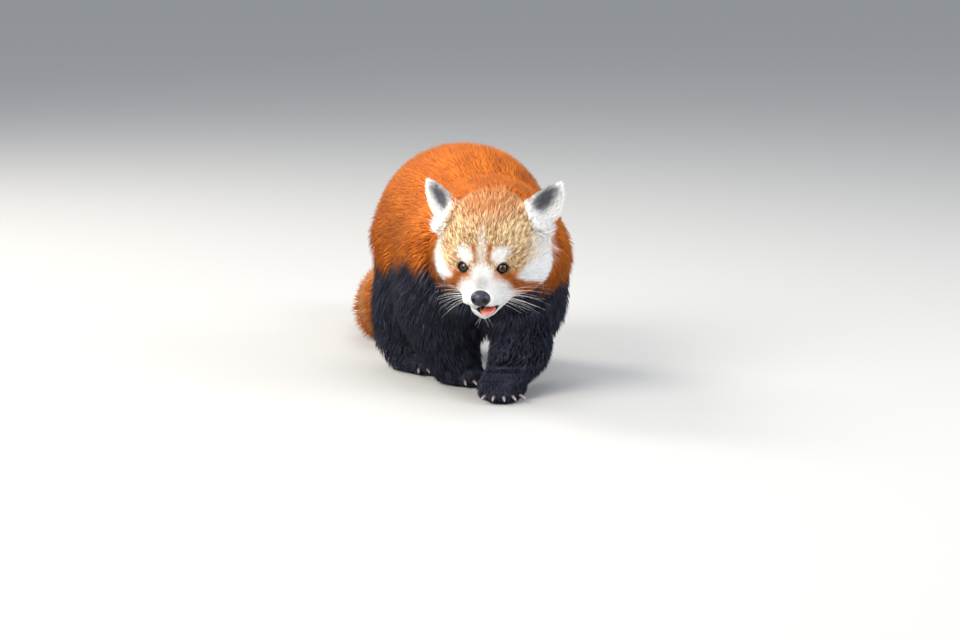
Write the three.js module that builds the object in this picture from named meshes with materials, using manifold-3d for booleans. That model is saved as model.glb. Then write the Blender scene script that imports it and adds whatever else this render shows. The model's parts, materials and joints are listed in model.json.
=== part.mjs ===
// A red panda on the walk, head low and turned to its right, mouth a little open. Life size.
// Millimetres, +Z up. The animal faces -Y, its left side is +X and the floor is z = 0.
// Every solid goes out to the tips of the coat. The body is one smooth blend of masses,
// meshed piece by piece and parted along flat cuts with a thin gap between neighbours.
import * as THREE from "three";
import { mergeVertices } from "three/addons/utils/BufferGeometryUtils.js";
import Module from "manifold-3d";

const wasm = await Module();
wasm.setup();

// Driving dimensions
const GAP = 0.35; // clear space between two neighbouring solids
const FLOOR_SINK = 3; // how far a sole or the tail is pressed flat by the floor
const SHOULDER_TOP = 246; // top of the coat over the shoulders
const RUMP_TOP = 274; // top of the coat over the loins
const BELLY_LOW = 86; // underside of the coat between the legs
const TRUNK_HALF_WIDTH = 92;
const HEAD_CENTRE = [-34, -107, 178];
const HEAD_YAW = 32; // degrees, turned to the animal's right
const HEAD_PITCH = 15; // degrees, nose down
const HEAD_HALF_WIDTH = 69; // across the cheek fur
const EYE_RADIUS = 7.6;
const EYE_OPENING = 5.9; // radius of the gap between the lids
const EYE_RECESS = 2.2; // how deep the eye's front lies under the coat's surface
const EYE_SPREAD = 24.8; // from the face's midline to each eye
const EYE_HEIGHT = 1.8; // over the middle of the skull
const NOSE_HALF_WIDTH = 11;
const CLAW_LENGTH = 15;
const CLAW_RADIUS = 2.5;

// Colours and finishes, from the animal's own markings
const finish = {
  rust: { color: 0xb4501a, roughness: 0.9 },
  black: { color: 0x17151a, roughness: 0.9 },
  face: { color: 0xe6cfa8, roughness: 0.9 },
  white: { color: 0xf2ece2, roughness: 0.9 },
  eye: { color: 0x24160c, roughness: 0.12 },
  nose: { color: 0x1c1b20, roughness: 0.45 },
  tongue: { color: 0xd8695c, roughness: 0.4 },
  claw: { color: 0xcdbcae, roughness: 0.5 },
};
const materials = Object.fromEntries(
  Object.entries(finish).map(([name, look]) => [
    name,
    new THREE.MeshStandardMaterial({ ...look, metalness: 0 }),
  ]),
);

// Vector helpers on plain arrays
const radians = THREE.MathUtils.degToRad;
const plus = (a, b, t = 1) => a.map((x, i) => x + t * b[i]);
const minus = (a, b) => a.map((x, i) => x - b[i]);
const length = (a) => Math.hypot(...a);
const unit = (a) => a.map((x) => x / length(a));
const between = (a, b, t) => a.map((x, i) => x + t * (b[i] - x));

// A place of its own for a sub-part: turned by yaw about +Z, pitch about X and roll about Y.
function frameAt(position, yaw = 0, pitch = 0, roll = 0) {
  const turn = new THREE.Euler(radians(pitch), radians(roll), radians(yaw), "ZXY");
  const matrix = new THREE.Matrix4().makeRotationFromEuler(turn).setPosition(...position);
  const e = matrix.elements;
  const inward = (x, y, z, out) => {
    const dx = x - e[12];
    const dy = y - e[13];
    const dz = z - e[14];
    out[0] = e[0] * dx + e[1] * dy + e[2] * dz;
    out[1] = e[4] * dx + e[5] * dy + e[6] * dz;
    out[2] = e[8] * dx + e[9] * dy + e[10] * dz;
  };
  const outward = (p) => new THREE.Vector3(...p).applyMatrix4(matrix).toArray();
  const heading = (d) => minus(outward(d), position);
  return { matrix, inward, outward, heading };
}
const WORLD = frameAt([0, 0, 0]);

// Distance from an egg-shaped mass, negative inside
function egg(centre, radii, place = WORLD) {
  const q = [0, 0, 0];
  const [cx, cy, cz] = centre;
  const [rx, ry, rz] = radii;
  return (x, y, z) => {
    place.inward(x, y, z, q);
    const [u, v, w] = [(q[0] - cx) / rx, (q[1] - cy) / ry, (q[2] - cz) / rz];
    const near = Math.sqrt(u * u + v * v + w * w);
    const slope = Math.sqrt((u / rx) ** 2 + (v / ry) ** 2 + (w / rz) ** 2);
    return near < 1e-6 ? -Math.min(rx, ry, rz) : (near * (near - 1)) / slope;
  };
}

// Distance from a limb that tapers from one round end to another
function limb(from, to, startRadius, endRadius, place = WORLD) {
  const q = [0, 0, 0];
  const way = unit(minus(to, from));
  const span = length(minus(to, from));
  const lean = (startRadius - endRadius) / span;
  const upright = Math.sqrt(1 - lean * lean);
  return (px, py, pz) => {
    place.inward(px, py, pz, q);
    const [a, b, c] = [q[0] - from[0], q[1] - from[1], q[2] - from[2]];
    const along = a * way[0] + b * way[1] + c * way[2];
    const out = Math.sqrt(Math.max(0, a * a + b * b + c * c - along * along));
    const side = out * -lean + along * upright;
    if (side < 0) return Math.sqrt(out * out + along * along) - startRadius;
    if (side > upright * span) return Math.sqrt(out * out + (along - span) ** 2) - endRadius;
    return out * upright + along * lean - startRadius;
  };
}

// Joins two distances with a rounded valley of about the given width
function soften(a, b, width) {
  const overlap = Math.max(width - Math.abs(a - b), 0) / width;
  return Math.min(a, b) - (overlap * overlap * width) / 4;
}

// A list of [mass, width of the valley where it joins those before it] as one distance
function blended(list) {
  return (x, y, z) => {
    let d = 1e6;
    for (const [mass, width] of list) d = soften(d, mass(x, y, z), width);
    return d;
  };
}

// Trunk and neck
const trunkMiddle = (RUMP_TOP + BELLY_LOW) / 2;
const trunk = [
  [egg([0, 4, 162], [TRUNK_HALF_WIDTH + 2, 92, SHOULDER_TOP - 162]), 30],
  [egg([6, 72, trunkMiddle - 6], [TRUNK_HALF_WIDTH + 2, 92, RUMP_TOP - trunkMiddle - 2]), 40],
  [egg([8, 138, trunkMiddle], [TRUNK_HALF_WIDTH + 2, 88, RUMP_TOP - trunkMiddle]), 40],
  [egg([14, 98, 204], [78, 84, RUMP_TOP - 206]), 30],
  [egg([4, 196, 186], [62, 56, 62]), 40],
];
const neck = [[egg([-11, -50, 178], [78, 70, 72]), 36]];

// Head, in a frame of its own at the middle of the skull
const head = frameAt(HEAD_CENTRE, -HEAD_YAW, HEAD_PITCH);
const inHead = (make, ...sizes) => make(...sizes, head);
const skull = [
  [inHead(egg, [0, 10, 8], [60, 56, 62]), 20],
  [inHead(egg, [0, -20, 14], [46, 34, 42]), 24],
  [inHead(egg, [0, 14, -26], [50, 44, 28]), 24],
];
for (const side of [-1, 1]) {
  skull.push([inHead(egg, [side * 37, 2, -10], [HEAD_HALF_WIDTH - 37, 38, 34]), 22]);
  skull.push([inHead(egg, [side * 22, -32, -8], [20, 17, 20]), 16]);
}
const muzzle = [
  [inHead(limb, [0, -30, -13], [0, -66, -29], 25, 15), 14],
  [inHead(egg, [0, -36, -36], [29, 28, 18]), 14],
];
for (const side of [-1, 1]) {
  muzzle.push([inHead(egg, [side * 11, -62, -33], [13.5, 16, 11.5]), 8]);
}
const chin = [[inHead(limb, [0, -32, -46], [0, -60, -50], 18, 9.5), 9]];

// Ears: triangles that lean outward, cupped in front. Their stumps belong to the head.
const EAR_WIDTH = 62;
const EAR_HEIGHT = 56;
const EAR_TIP_RADIUS = 7;
const EAR_LEAN = 32; // degrees outward
const EAR_TURN_LEFT = 26; // degrees from the way the face looks
const EAR_TURN_RIGHT = 35;
const EAR_STUMP = 10; // height over the ear's root where the head ends and the ear starts
const EAR_CUP = 9; // how far the middle of the ear lies behind its rims
const EAR_HALF_THICKNESS = 6.5;
const earPlace = (side) => {
  const root = head.outward([side * 54, 6, 36.5]);
  const turn = side > 0 ? EAR_TURN_LEFT : -EAR_TURN_RIGHT;
  return frameAt(root, -HEAD_YAW + turn, HEAD_PITCH - 8, side * EAR_LEAN);
};
function earStump(side) {
  const place = earPlace(side);
  const leaf = egg([0, 4, -4], [EAR_WIDTH / 2 + 2, EAR_HALF_THICKNESS + 5, 26], place);
  return leaf;
}
function earLeaf(side) {
  const leaf = new THREE.SphereGeometry(1, 14, 10).rotateX(Math.PI / 2);
  const at = leaf.attributes.position;
  const low = -16;
  const shoulder = 4;
  const tipStart = EAR_HEIGHT - EAR_TIP_RADIUS;
  for (let i = 0; i < at.count; i++) {
    const ring = Math.hypot(at.getX(i), at.getY(i)) || 1;
    const [across, through] = [at.getX(i) / ring, at.getY(i) / ring];
    const height = low + ((EAR_HEIGHT - low) * (1 + at.getZ(i))) / 2;
    let half = EAR_WIDTH / 2;
    if (height < shoulder) {
      half *= Math.sqrt(Math.max(0, 1 - ((shoulder - height) / (shoulder - low)) ** 2));
    } else if (height < tipStart) {
      half += (EAR_TIP_RADIUS - half) * ((height - shoulder) / (tipStart - shoulder)) ** 1.5;
    } else {
      half = Math.sqrt(Math.max(0, EAR_TIP_RADIUS ** 2 - (height - tipStart) ** 2));
    }
    const middle = 1 - across * across;
    const share = Math.sin((Math.PI * (height - low)) / (EAR_HEIGHT - low));
    const thick = EAR_HALF_THICKNESS * Math.min(1, half / 12);
    at.setXYZ(i, across * half, through * thick + EAR_CUP * middle * share, height);
  }
  return leaf.applyMatrix4(earPlace(side).matrix);
}

// Legs: each a chain of joints with the coat's radius at each, and a foot with five toes
const legs = {
  front_left: {
    joints: [[50, 0, 158], [53, -7, 104], [21, -58, 56], [-7, -84, 28]],
    radii: [48, 40, 33, 27],
    foot: { position: [-20, -98, 0], turn: 14, size: 34, reach: 30, width: 30, back: 54 },
    cut: { upper: [[46, 4, 140], [0.8, -0.05, -0.6]], lower: 0.08 },
  },
  front_right: {
    joints: [[-56, 6, 158], [-62, 24, 104], [-43, 28, 56], [-32, 24, 27]],
    radii: [48, 43, 36, 26],
    foot: { position: [-26, 12, 0], turn: -20, size: 34, reach: 30, width: 25, back: 50 },
    cut: { upper: [[-48, 6, 140], [-0.8, -0.05, -0.6]], lower: 0.08 },
  },
  hind_right: {
    joints: [[-40, 142, 150], [-52, 120, 98], [-56, 150, 52], [-54, 142, 26]],
    radii: [56, 48, 35, 26],
    foot: { position: [-48, 110, 0], turn: -14, size: 46, reach: 30, width: 25, back: 92 },
    cut: { upper: [[-48, 140, 138], [-0.75, 0, -0.66]], lower: 0.1 },
  },
  hind_left: {
    joints: [[50, 152, 150], [64, 158, 98], [44, 222, 56], [34, 238, 28]],
    radii: [56, 48, 36, 26],
    foot: { position: [26, 216, 0], turn: 12, size: 46, reach: 30, width: 25, back: 92 },
    cut: { upper: [[46, 152, 138], [0.75, 0.05, -0.66]], lower: 0.1 },
  },
};
const ANKLE_HEIGHT = 38;
const TOES = 5;
const TOE_RADIUS = 8.6;
const FOOT_HEIGHT = 30;
const TOE_FAN = 17; // degrees between neighbouring toes

// Where toe number i of a foot starts and ends, and the way it points, in the foot's frame
function toeLine(foot, i) {
  const turn = (i - (TOES - 1) / 2) * radians(TOE_FAN);
  const way = [Math.sin(turn), -Math.cos(turn)];
  const knuckle = [way[0] * foot.width * 0.62, way[1] * foot.reach * 0.3, 13];
  const reach = foot.reach * (1 - 0.08 * Math.abs(i - (TOES - 1) / 2));
  const tip = [way[0] * (foot.width + 4), way[1] * reach, TOE_RADIUS - FLOOR_SINK / 2];
  return { knuckle, tip, way };
}

for (const leg of Object.values(legs)) {
  const { foot } = leg;
  leg.place = frameAt(foot.position, foot.turn * -1);
  const { place } = leg;
  leg.masses = leg.radii
    .slice(1)
    .map((r, i) => [limb(leg.joints[i], leg.joints[i + 1], leg.radii[i], r), 26]);
  const heelDrop = FOOT_HEIGHT / 2 - FLOOR_SINK;
  leg.masses.push([egg([0, 2, heelDrop], [foot.width, foot.size * 0.72, FOOT_HEIGHT / 2], place), 14]);
  leg.masses.push([egg([0, foot.size * 0.62, heelDrop], [21, foot.size * 0.6, 17], place), 14]);
  for (let i = 0; i < TOES; i++) {
    const { knuckle, tip } = toeLine(foot, i);
    leg.masses.push([limb(knuckle, tip, TOE_RADIUS + 2, TOE_RADIUS, place), 5]);
  }
}

// Tail: a soft rope of fur that drops behind the right hind leg and trails along the floor
const tailLine = [
  { at: [0, 226, 186], radius: 35 },
  { at: [0, 268, 118], radius: 39 },
  { at: [-6, 312, 64], radius: 44 },
  { at: [4, 368, 44], radius: 46.5 },
  { at: [30, 440, 43], radius: 45.5 },
  { at: [58, 510, 40], radius: 42 },
  { at: [80, 566, 34], radius: 35 },
  { at: [94, 606, 24], radius: 20 },
];
const tail = tailLine.slice(1).map((end, i) => {
  const start = tailLine[i];
  return [limb(start.at, end.at, start.radius, end.radius), 26];
});

const earMasses = [-1, 1].map((side) => [earStump(side), 9]);
const headBlend = blended([...skull, ...muzzle, ...chin, ...earMasses]);
const trunkBlend = blended([...trunk, ...neck]);
const legBlends = Object.values(legs).map((leg) => blended(leg.masses));
const tailBlend = blended(tail);
const NECK_VALLEY = 20;
const LEG_VALLEY = 26;
function body(x, y, z) {
  let d = soften(trunkBlend(x, y, z), headBlend(x, y, z), NECK_VALLEY);
  for (const leg of legBlends) d = soften(d, leg(x, y, z), LEG_VALLEY);
  return soften(d, tailBlend(x, y, z), LEG_VALLEY);
}

// Meshes the zero of a distance inside a box: one vertex in each cell that the surface crosses,
// drawn onto the surface, and one quad for each grid edge that it crosses. The rim counts as outside.
function meshed(distance, low, high, cell) {
  const count = low.map((x, i) => Math.ceil((high[i] - x) / cell) + 1);
  const step = [1, count[0], count[0] * count[1]];
  const field = new Float32Array(count[0] * count[1] * count[2]);
  const corner = (i, j, k) => [low[0] + i * cell, low[1] + j * cell, low[2] + k * cell];
  const atRim = (n, axis) => n === 0 || n === count[axis] - 1;
  for (let k = 0; k < count[2]; k++)
    for (let j = 0; j < count[1]; j++)
      for (let i = 0; i < count[0]; i++) {
        const rim = atRim(i, 0) || atRim(j, 1) || atRim(k, 2);
        const value = distance(low[0] + i * cell, low[1] + j * cell, low[2] + k * cell);
        field[i + j * step[1] + k * step[2]] = rim ? Math.max(value, cell / 4) : value;
      }
  const places = [];
  const vertexOf = new Map();
  const corners = [0, 1, 2, 3, 4, 5, 6, 7].map((c) => [c & 1, (c >> 1) & 1, c >> 2]);
  for (let k = 0; k < count[2] - 1; k++)
    for (let j = 0; j < count[1] - 1; j++)
      for (let i = 0; i < count[0] - 1; i++) {
        const at = i + j * step[1] + k * step[2];
        const values = corners.map((c) => field[at + c[0] + c[1] * step[1] + c[2] * step[2]]);
        const crossings = [];
        corners.forEach((c, a) => {
          for (const axis of [0, 1, 2]) {
            const b = a + (1 << axis);
            if (c[axis] || values[a] < 0 === values[b] < 0) continue;
            const share = values[a] / (values[a] - values[b]);
            crossings.push(c.map((x, n) => (n === axis ? share : x)));
          }
        });
        if (!crossings.length) continue;
        const middle = crossings.reduce((sum, c) => plus(sum, c, 1 / crossings.length), [0, 0, 0]);
        vertexOf.set(at, places.length / 3);
        places.push(...onSurface(distance, plus(corner(i, j, k), middle, cell), cell));
      }
  const index = [];
  for (const [at] of vertexOf)
    for (const axis of [0, 1, 2]) {
      const [u, v] = [step[(axis + 1) % 3], step[(axis + 2) % 3]];
      const inside = field[at] < 0;
      if (inside === field[at + step[axis]] < 0) continue;
      const ring = [at, at - u, at - u - v, at - v].map((cellAt) => vertexOf.get(cellAt));
      if (ring.includes(undefined)) continue;
      const [a, b, c, d] = inside ? ring : ring.reverse();
      index.push(a, b, c, a, c, d);
    }
  const geometry = new THREE.BufferGeometry();
  geometry.setAttribute("position", new THREE.Float32BufferAttribute(places, 3));
  geometry.setIndex(index);
  return geometry;
}

// Moves a point onto the zero of a distance, by no more than the cell's own reach
function onSurface(distance, point, cell) {
  const h = 0.5;
  let p = point;
  for (let turn = 0; turn < 3; turn++) {
    const [x, y, z] = p;
    const d = distance(x, y, z);
    if (Math.abs(d) > cell) break;
    const slope = [
      (distance(x + h, y, z) - distance(x - h, y, z)) / (2 * h),
      (distance(x, y + h, z) - distance(x, y - h, z)) / (2 * h),
      (distance(x, y, z + h) - distance(x, y, z - h)) / (2 * h),
    ];
    const steep = Math.max(length(slope) ** 2, 0.25);
    p = plus(p, slope, -d / steep);
  }
  return length(minus(p, point)) < cell ? p : point;
}

// A geometry with its shared vertices merged on a fine grid, and without the faces that collapse
const WELD = 0.002;
function welded(geometry) {
  const bare = geometry.clone();
  for (const name of Object.keys(bare.attributes)) {
    if (name !== "position") bare.deleteAttribute(name);
  }
  const at = bare.attributes.position;
  for (let i = 0; i < at.array.length; i++) at.array[i] = Math.round(at.array[i] / WELD) * WELD;
  const merged = mergeVertices(bare, WELD / 4);
  const faces = new Map();
  const { array } = merged.index;
  for (let i = 0; i < array.length; i += 3) {
    const face = array.slice(i, i + 3);
    const [a, b, c] = face;
    if (a === b || b === c || c === a) continue;
    const key = [a, b, c].sort((m, n) => m - n).join();
    if (faces.has(key)) faces.delete(key);
    else faces.set(key, face);
  }
  merged.setIndex([...faces.values()].flatMap((face) => [...face]));
  return merged;
}

// A closed geometry as a solid, and back
function solid(geometry) {
  const { attributes, index } = welded(geometry);
  return new wasm.Manifold(
    new wasm.Mesh({
      numProp: 3,
      vertProperties: new Float32Array(attributes.position.array),
      triVerts: new Uint32Array(index.array),
    }),
  );
}

function geometryOf(made) {
  const mesh = made.getMesh();
  const geometry = new THREE.BufferGeometry();
  geometry.setAttribute("position", new THREE.Float32BufferAttribute(mesh.vertProperties, 3));
  geometry.setIndex(new THREE.BufferAttribute(mesh.triVerts, 1));
  return welded(geometry);
}

// Whether every edge has just two faces, so that no two sheets of the surface touch along one
function everyEdgeHasTwoFaces(geometry) {
  const { array } = geometry.index;
  const uses = new Map();
  for (let i = 0; i < array.length; i++) {
    const [a, b] = [array[i], array[i % 3 === 2 ? i - 2 : i + 1]];
    const key = a < b ? `${a} ${b}` : `${b} ${a}`;
    uses.set(key, (uses.get(key) ?? 0) + 1);
  }
  return [...uses.values()].every((n) => n === 2);
}

// The largest piece of a geometry, without the crumbs that a cut may leave
function largestPiece(geometry) {
  const { array } = geometry.index;
  const owner = Array.from({ length: geometry.attributes.position.count }, (_, i) => i);
  const chief = (i) => {
    while (owner[i] !== i) i = owner[i] = owner[owner[i]];
    return i;
  };
  for (let i = 0; i < array.length; i += 3) {
    owner[chief(array[i + 1])] = chief(array[i]);
    owner[chief(array[i + 2])] = chief(array[i]);
  }
  const pieces = new Map();
  for (let i = 0; i < array.length; i += 3) {
    const key = chief(array[i]);
    if (!pieces.has(key)) pieces.set(key, []);
    pieces.get(key).push(array[i], array[i + 1], array[i + 2]);
  }
  const biggest = [...pieces.values()].sort((a, b) => b.length - a.length)[0];
  geometry.setIndex(biggest);
  return geometry;
}

// A block of space on the far side of a cut: it starts at a point and runs on in a direction.
// spans are its half widths across, first level and then upward.
function beyond(point, direction, reach, spans) {
  const way = new THREE.Vector3(...unit(direction));
  const level = new THREE.Vector3(0, 0, 1).cross(way);
  if (level.length() < 0.05) level.set(1, 0, 0);
  level.normalize();
  const upward = new THREE.Vector3().crossVectors(way, level);
  const turn = new THREE.Matrix4().makeBasis(level, upward, way).setPosition(...point);
  const sized = (grow) =>
    new THREE.BoxGeometry(2 * (spans[0] + grow), 2 * (spans[1] + grow), reach + 2 * grow)
      .translate(0, 0, reach / 2)
      .applyMatrix4(turn);
  return { box: sized(0), grown: sized(GAP) };
}

// A block of space between two corners in a place of its own
function blockIn(place, low, high) {
  const middle = between(low, high, 0.5);
  const sized = (grow) =>
    new THREE.BoxGeometry(...high.map((x, i) => x - low[i] + 2 * grow))
      .translate(...middle)
      .applyMatrix4(place.matrix);
  return { box: sized(0), grown: sized(GAP) };
}

const root = new THREE.Group();
function addNode(name, geometry, material) {
  geometry.computeVertexNormals();
  const mesh = new THREE.Mesh(geometry, materials[material]);
  mesh.name = name;
  root.add(mesh);
}

// Claws, eyes, nose and tongue, each with the grown copy that makes room for it
function bentHorn(span, radius, place) {
  const sides = 6;
  const rings = 2;
  const profile = [new THREE.Vector2(0, 0)];
  for (let i = 0; i < rings; i++) {
    const t = i / rings;
    profile.push(new THREE.Vector2(radius * (1 - 0.78 * t * t), span * t));
  }
  profile.push(new THREE.Vector2(0, span));
  const horn = new THREE.LatheGeometry(profile.reverse(), sides);
  const at = horn.attributes.position;
  for (let i = 0; i < at.count; i++) {
    const t = at.getY(i) / span;
    at.setXYZ(i, at.getX(i), -at.getY(i), at.getZ(i) - 0.34 * span * t * t);
  }
  return horn.applyMatrix4(place);
}

const claws = [];
for (const [name, leg] of Object.entries(legs)) {
  for (let i = 0; i < TOES; i++) {
    const { tip, way } = toeLine(leg.foot, i);
    const turn = Math.atan2(way[0], -way[1]);
    const start = [tip[0] + way[0] * 2, tip[1] + way[1] * 2, tip[2] + 2.5];
    const local = new THREE.Matrix4().makeRotationZ(turn).setPosition(...start);
    const place = new THREE.Matrix4().multiplyMatrices(leg.place.matrix, local);
    const horn = solid(bentHorn(CLAW_LENGTH, CLAW_RADIUS, place));
    const back = new THREE.Matrix4().makeTranslation(0, GAP, 0);
    const roomy = new THREE.Matrix4().multiplyMatrices(place, back);
    const room = solid(bentHorn(CLAW_LENGTH + 3 * GAP, CLAW_RADIUS + GAP, roomy));
    claws.push({ name: `${name}_claw_${i + 1}`, foot: `${name}_foot`, horn, room });
  }
}

// The point where a ray from inside the body leaves the coat
function leaving(from, way) {
  let p = from;
  for (let i = 0; i < 60; i++) p = plus(p, way, Math.max(0.05, -body(...p) * 0.7));
  return p;
}

const eyes = [-1, 1].map((side) => {
  const gaze = unit(head.heading([side * 0.36, -0.93, 0.08]));
  const inner = head.outward([side * EYE_SPREAD, -20, EYE_HEIGHT]);
  const front = leaving(inner, head.heading([0, -1, 0]));
  const centre = plus(front, gaze, -(EYE_RADIUS + EYE_RECESS));
  const ball = (r) => new THREE.SphereGeometry(r, 12, 7).translate(...centre);
  const opening = new THREE.CylinderGeometry(EYE_OPENING + 2, EYE_OPENING, 20, 10)
    .translate(0, 10, 0)
    .rotateX(Math.PI / 2);
  const turn = new THREE.Quaternion().setFromUnitVectors(
    new THREE.Vector3(0, 0, 1),
    new THREE.Vector3(...gaze),
  );
  opening.applyQuaternion(turn).translate(...centre);
  return {
    name: side < 0 ? "eye_right" : "eye_left",
    ball: solid(ball(EYE_RADIUS)),
    room: solid(ball(EYE_RADIUS + GAP)).add(solid(opening)),
  };
});

function nosePad(grow) {
  const pad = new THREE.SphereGeometry(1, 12, 8);
  const at = pad.attributes.position;
  for (let i = 0; i < at.count; i++) {
    const [x, y, z] = [at.getX(i), at.getY(i), at.getZ(i)];
    const taper = z < 0 ? 1 + 0.34 * z : 1;
    const notch = z < 0 && y < 0 ? 0.12 * (1 - Math.min(1, Math.abs(x) * 4)) : 0;
    at.setXYZ(
      i,
      x * (NOSE_HALF_WIDTH + grow) * taper,
      (y * (1 - notch)) * (8.5 + grow),
      z * (9 + grow),
    );
  }
  const tilt = frameAt([0, -75, -27], 0, 10);
  return pad.applyMatrix4(tilt.matrix).applyMatrix4(head.matrix);
}

// The mouth: a wedge that opens forward, its corners well back on the cheeks
const MOUTH_CORNER = [-42, -38];
const LIP_TOP = [-96, -33];
const LIP_LOW = [-92, -55];
const MOUTH_HALF_WIDTH = 20;
function mouthWedge() {
  const side = new THREE.Shape();
  side.moveTo(...MOUTH_CORNER);
  side.quadraticCurveTo(-66, -40, ...LIP_TOP);
  side.lineTo(...LIP_LOW);
  side.quadraticCurveTo(-62, -52, ...MOUTH_CORNER);
  const depth = 2 * MOUTH_HALF_WIDTH;
  const wedge = new THREE.ExtrudeGeometry(side, { depth, bevelEnabled: false, curveSegments: 6 });
  const turn = new THREE.Matrix4().makeBasis(
    new THREE.Vector3(0, 1, 0),
    new THREE.Vector3(0, 0, 1),
    new THREE.Vector3(1, 0, 0),
  );
  return wedge.translate(0, 0, -MOUTH_HALF_WIDTH).applyMatrix4(turn).applyMatrix4(head.matrix);
}

function tongueBody(grow) {
  const tongue = new THREE.SphereGeometry(1, 10, 6);
  const at = tongue.attributes.position;
  for (let i = 0; i < at.count; i++) {
    const [x, y, z] = [at.getX(i), at.getY(i), at.getZ(i)];
    const groove = z > 0 ? 0.5 * (1 - Math.min(1, Math.abs(x) * 2)) : 0;
    at.setXYZ(i, x * (9.6 + grow) + 4.5, y * (14.5 + grow) - 57, z * (3.1 + grow) - groove - 47.4 + 1.2 * y);
  }
  return tongue.applyMatrix4(head.matrix);
}

// Where the body is parted. A later block takes only what the earlier ones left.
const parts = [];
for (const side of [-1, 1]) {
  parts.push({
    name: side < 0 ? "ear_right" : "ear_left",
    material: "white",
    cell: 8,
    shape: earLeaf(side),
    block: blockIn(earPlace(side), [-34, -26, EAR_STUMP], [34, 30, 70]),
  });
}
parts.push({
  name: "jaw",
  material: "white",
  cell: 6.4,
  block: beyond(head.outward([0, -64, -43.2]), head.heading([0, -0.05, -1]), 32, [21, 24]),
});
for (const [name, { foot, place }] of Object.entries(legs)) {
  parts.push({
    name: `${name}_foot`,
    material: "black",
    cell: 14.2,
    block: blockIn(
      place,
      [-foot.width - 14, -foot.reach - 18, -20],
      [foot.width + 14, foot.back, ANKLE_HEIGHT],
    ),
  });
}
for (const [name, leg] of Object.entries(legs)) {
  const [, elbow, wrist] = leg.joints;
  parts.push({
    name: `${name}_lower`,
    material: "black",
    cell: 22,
    block: beyond(between(elbow, wrist, leg.cut.lower), minus(wrist, elbow), 110, [51, 60]),
  });
}
for (const [name, leg] of Object.entries(legs)) {
  const [at, way] = leg.cut.upper;
  parts.push({
    name: `${name}_upper`,
    material: "black",
    cell: 24,
    block: beyond(at, way, 120, [58, 66]),
  });
}
const tailNames = ["tail_tip", "tail_end", "tail_middle", "tail_root"];
const tailCuts = [5.5, 4, 2.5, 0.75];
tailNames.forEach((name, n) => {
  const whole = Math.floor(tailCuts[n]);
  const share = tailCuts[n] - whole;
  const [start, end] = [tailLine[whole].at, tailLine[whole + 1].at];
  parts.push({
    name,
    material: "rust",
    cell: 26,
    block: beyond(between(start, end, share), minus(end, start), n < 2 ? 190 : 140, [80, 66]),
  });
});
parts.push({
  name: "face",
  material: "face",
  cell: 11.4,
  block: beyond(head.outward([0, -8, 0]), head.heading([0, -1, 0.1]), 110, [92, 88]),
});
parts.push({
  name: "head",
  material: "face",
  cell: 19.5,
  block: beyond(head.outward([0, 34, 0]), head.heading([0, -1, -0.12]), 60, [92, 88]),
});
parts.push({
  name: "neck",
  material: "rust",
  cell: 26,
  block: beyond([-6, -40, 170], [-0.2, -1, 0], 90, [110, 110]),
});
parts.push({
  name: "chest",
  material: "rust",
  cell: 32,
  block: beyond([0, 42, 170], [0, -1, 0], 130, [115, 115]),
});
parts.push({
  name: "loins",
  material: "rust",
  cell: 32,
  block: beyond([0, 112, 170], [0, -1, 0], 90, [115, 115]),
});
parts.push({
  name: "rump",
  material: "rust",
  cell: 32,
  block: beyond([0, 290, 170], [0, -1, 0], 200, [115, 115]),
});

const floor = solid(new THREE.BoxGeometry(900, 1400, 200).translate(0, 0, -100));
const rooms = {
  face: [
    ...eyes.map((eye) => eye.room),
    solid(nosePad(GAP)),
    solid(mouthWedge()),
    solid(tongueBody(GAP)),
  ],
  jaw: [solid(mouthWedge()), solid(tongueBody(GAP))],
};
for (const claw of claws) (rooms[claw.foot] ??= []).push(claw.room);

// One part of the body: meshed in its block, without what its neighbours took and what is set in it
function cutOut(part, cell, taken) {
  const { box } = part.block;
  box.computeBoundingBox();
  const { min, max } = box.boundingBox;
  const low = [-150, -230, -40].map((x, i) => Math.max(x, min.getComponent(i) - 2.5 * cell));
  const high = [170, 660, 320].map((x, i) => Math.min(x, max.getComponent(i) + 2.5 * cell));
  let made = solid(part.shape ?? meshed(body, low, high, cell)).intersect(solid(box));
  for (const other of taken) made = made.subtract(other);
  for (const room of rooms[part.name] ?? []) made = made.subtract(room);
  return largestPiece(geometryOf(made.subtract(floor)));
}

const CLOSER = 0.97; // how much finer the cells get when a mesh has to be made again
const taken = [];
for (const part of parts) {
  let { cell } = part;
  let geometry = cutOut(part, cell, taken);
  while (!everyEdgeHasTwoFaces(geometry)) {
    cell *= CLOSER;
    geometry = cutOut(part, cell, taken);
  }
  taken.push(solid(part.block.grown));
  addNode(part.name, geometry, part.material);
}

for (const eye of eyes) addNode(eye.name, geometryOf(eye.ball), "eye");
addNode("nose", geometryOf(solid(nosePad(0))), "nose");
addNode("tongue", geometryOf(solid(tongueBody(0))), "tongue");
for (const claw of claws) addNode(claw.name, geometryOf(claw.horn), "claw");

// The origin is on the floor, under the middle of the whole model.
const extent = new THREE.Box3().setFromObject(root);
const middle = extent.getCenter(new THREE.Vector3());
root.position.set(-middle.x, -middle.y, 0);

export default root;
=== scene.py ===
"""A red panda on the walk, life size: skin, coat, eyes, nose, tongue, claws and whiskers over the frame."""

import json
import math

import bpy
import numpy as np
import openvdb
from bpy.props import FloatProperty, FloatVectorProperty, IntProperty, PointerProperty
from bpy.types import Operator, Panel, PropertyGroup
from mathutils import Matrix, Vector


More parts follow.
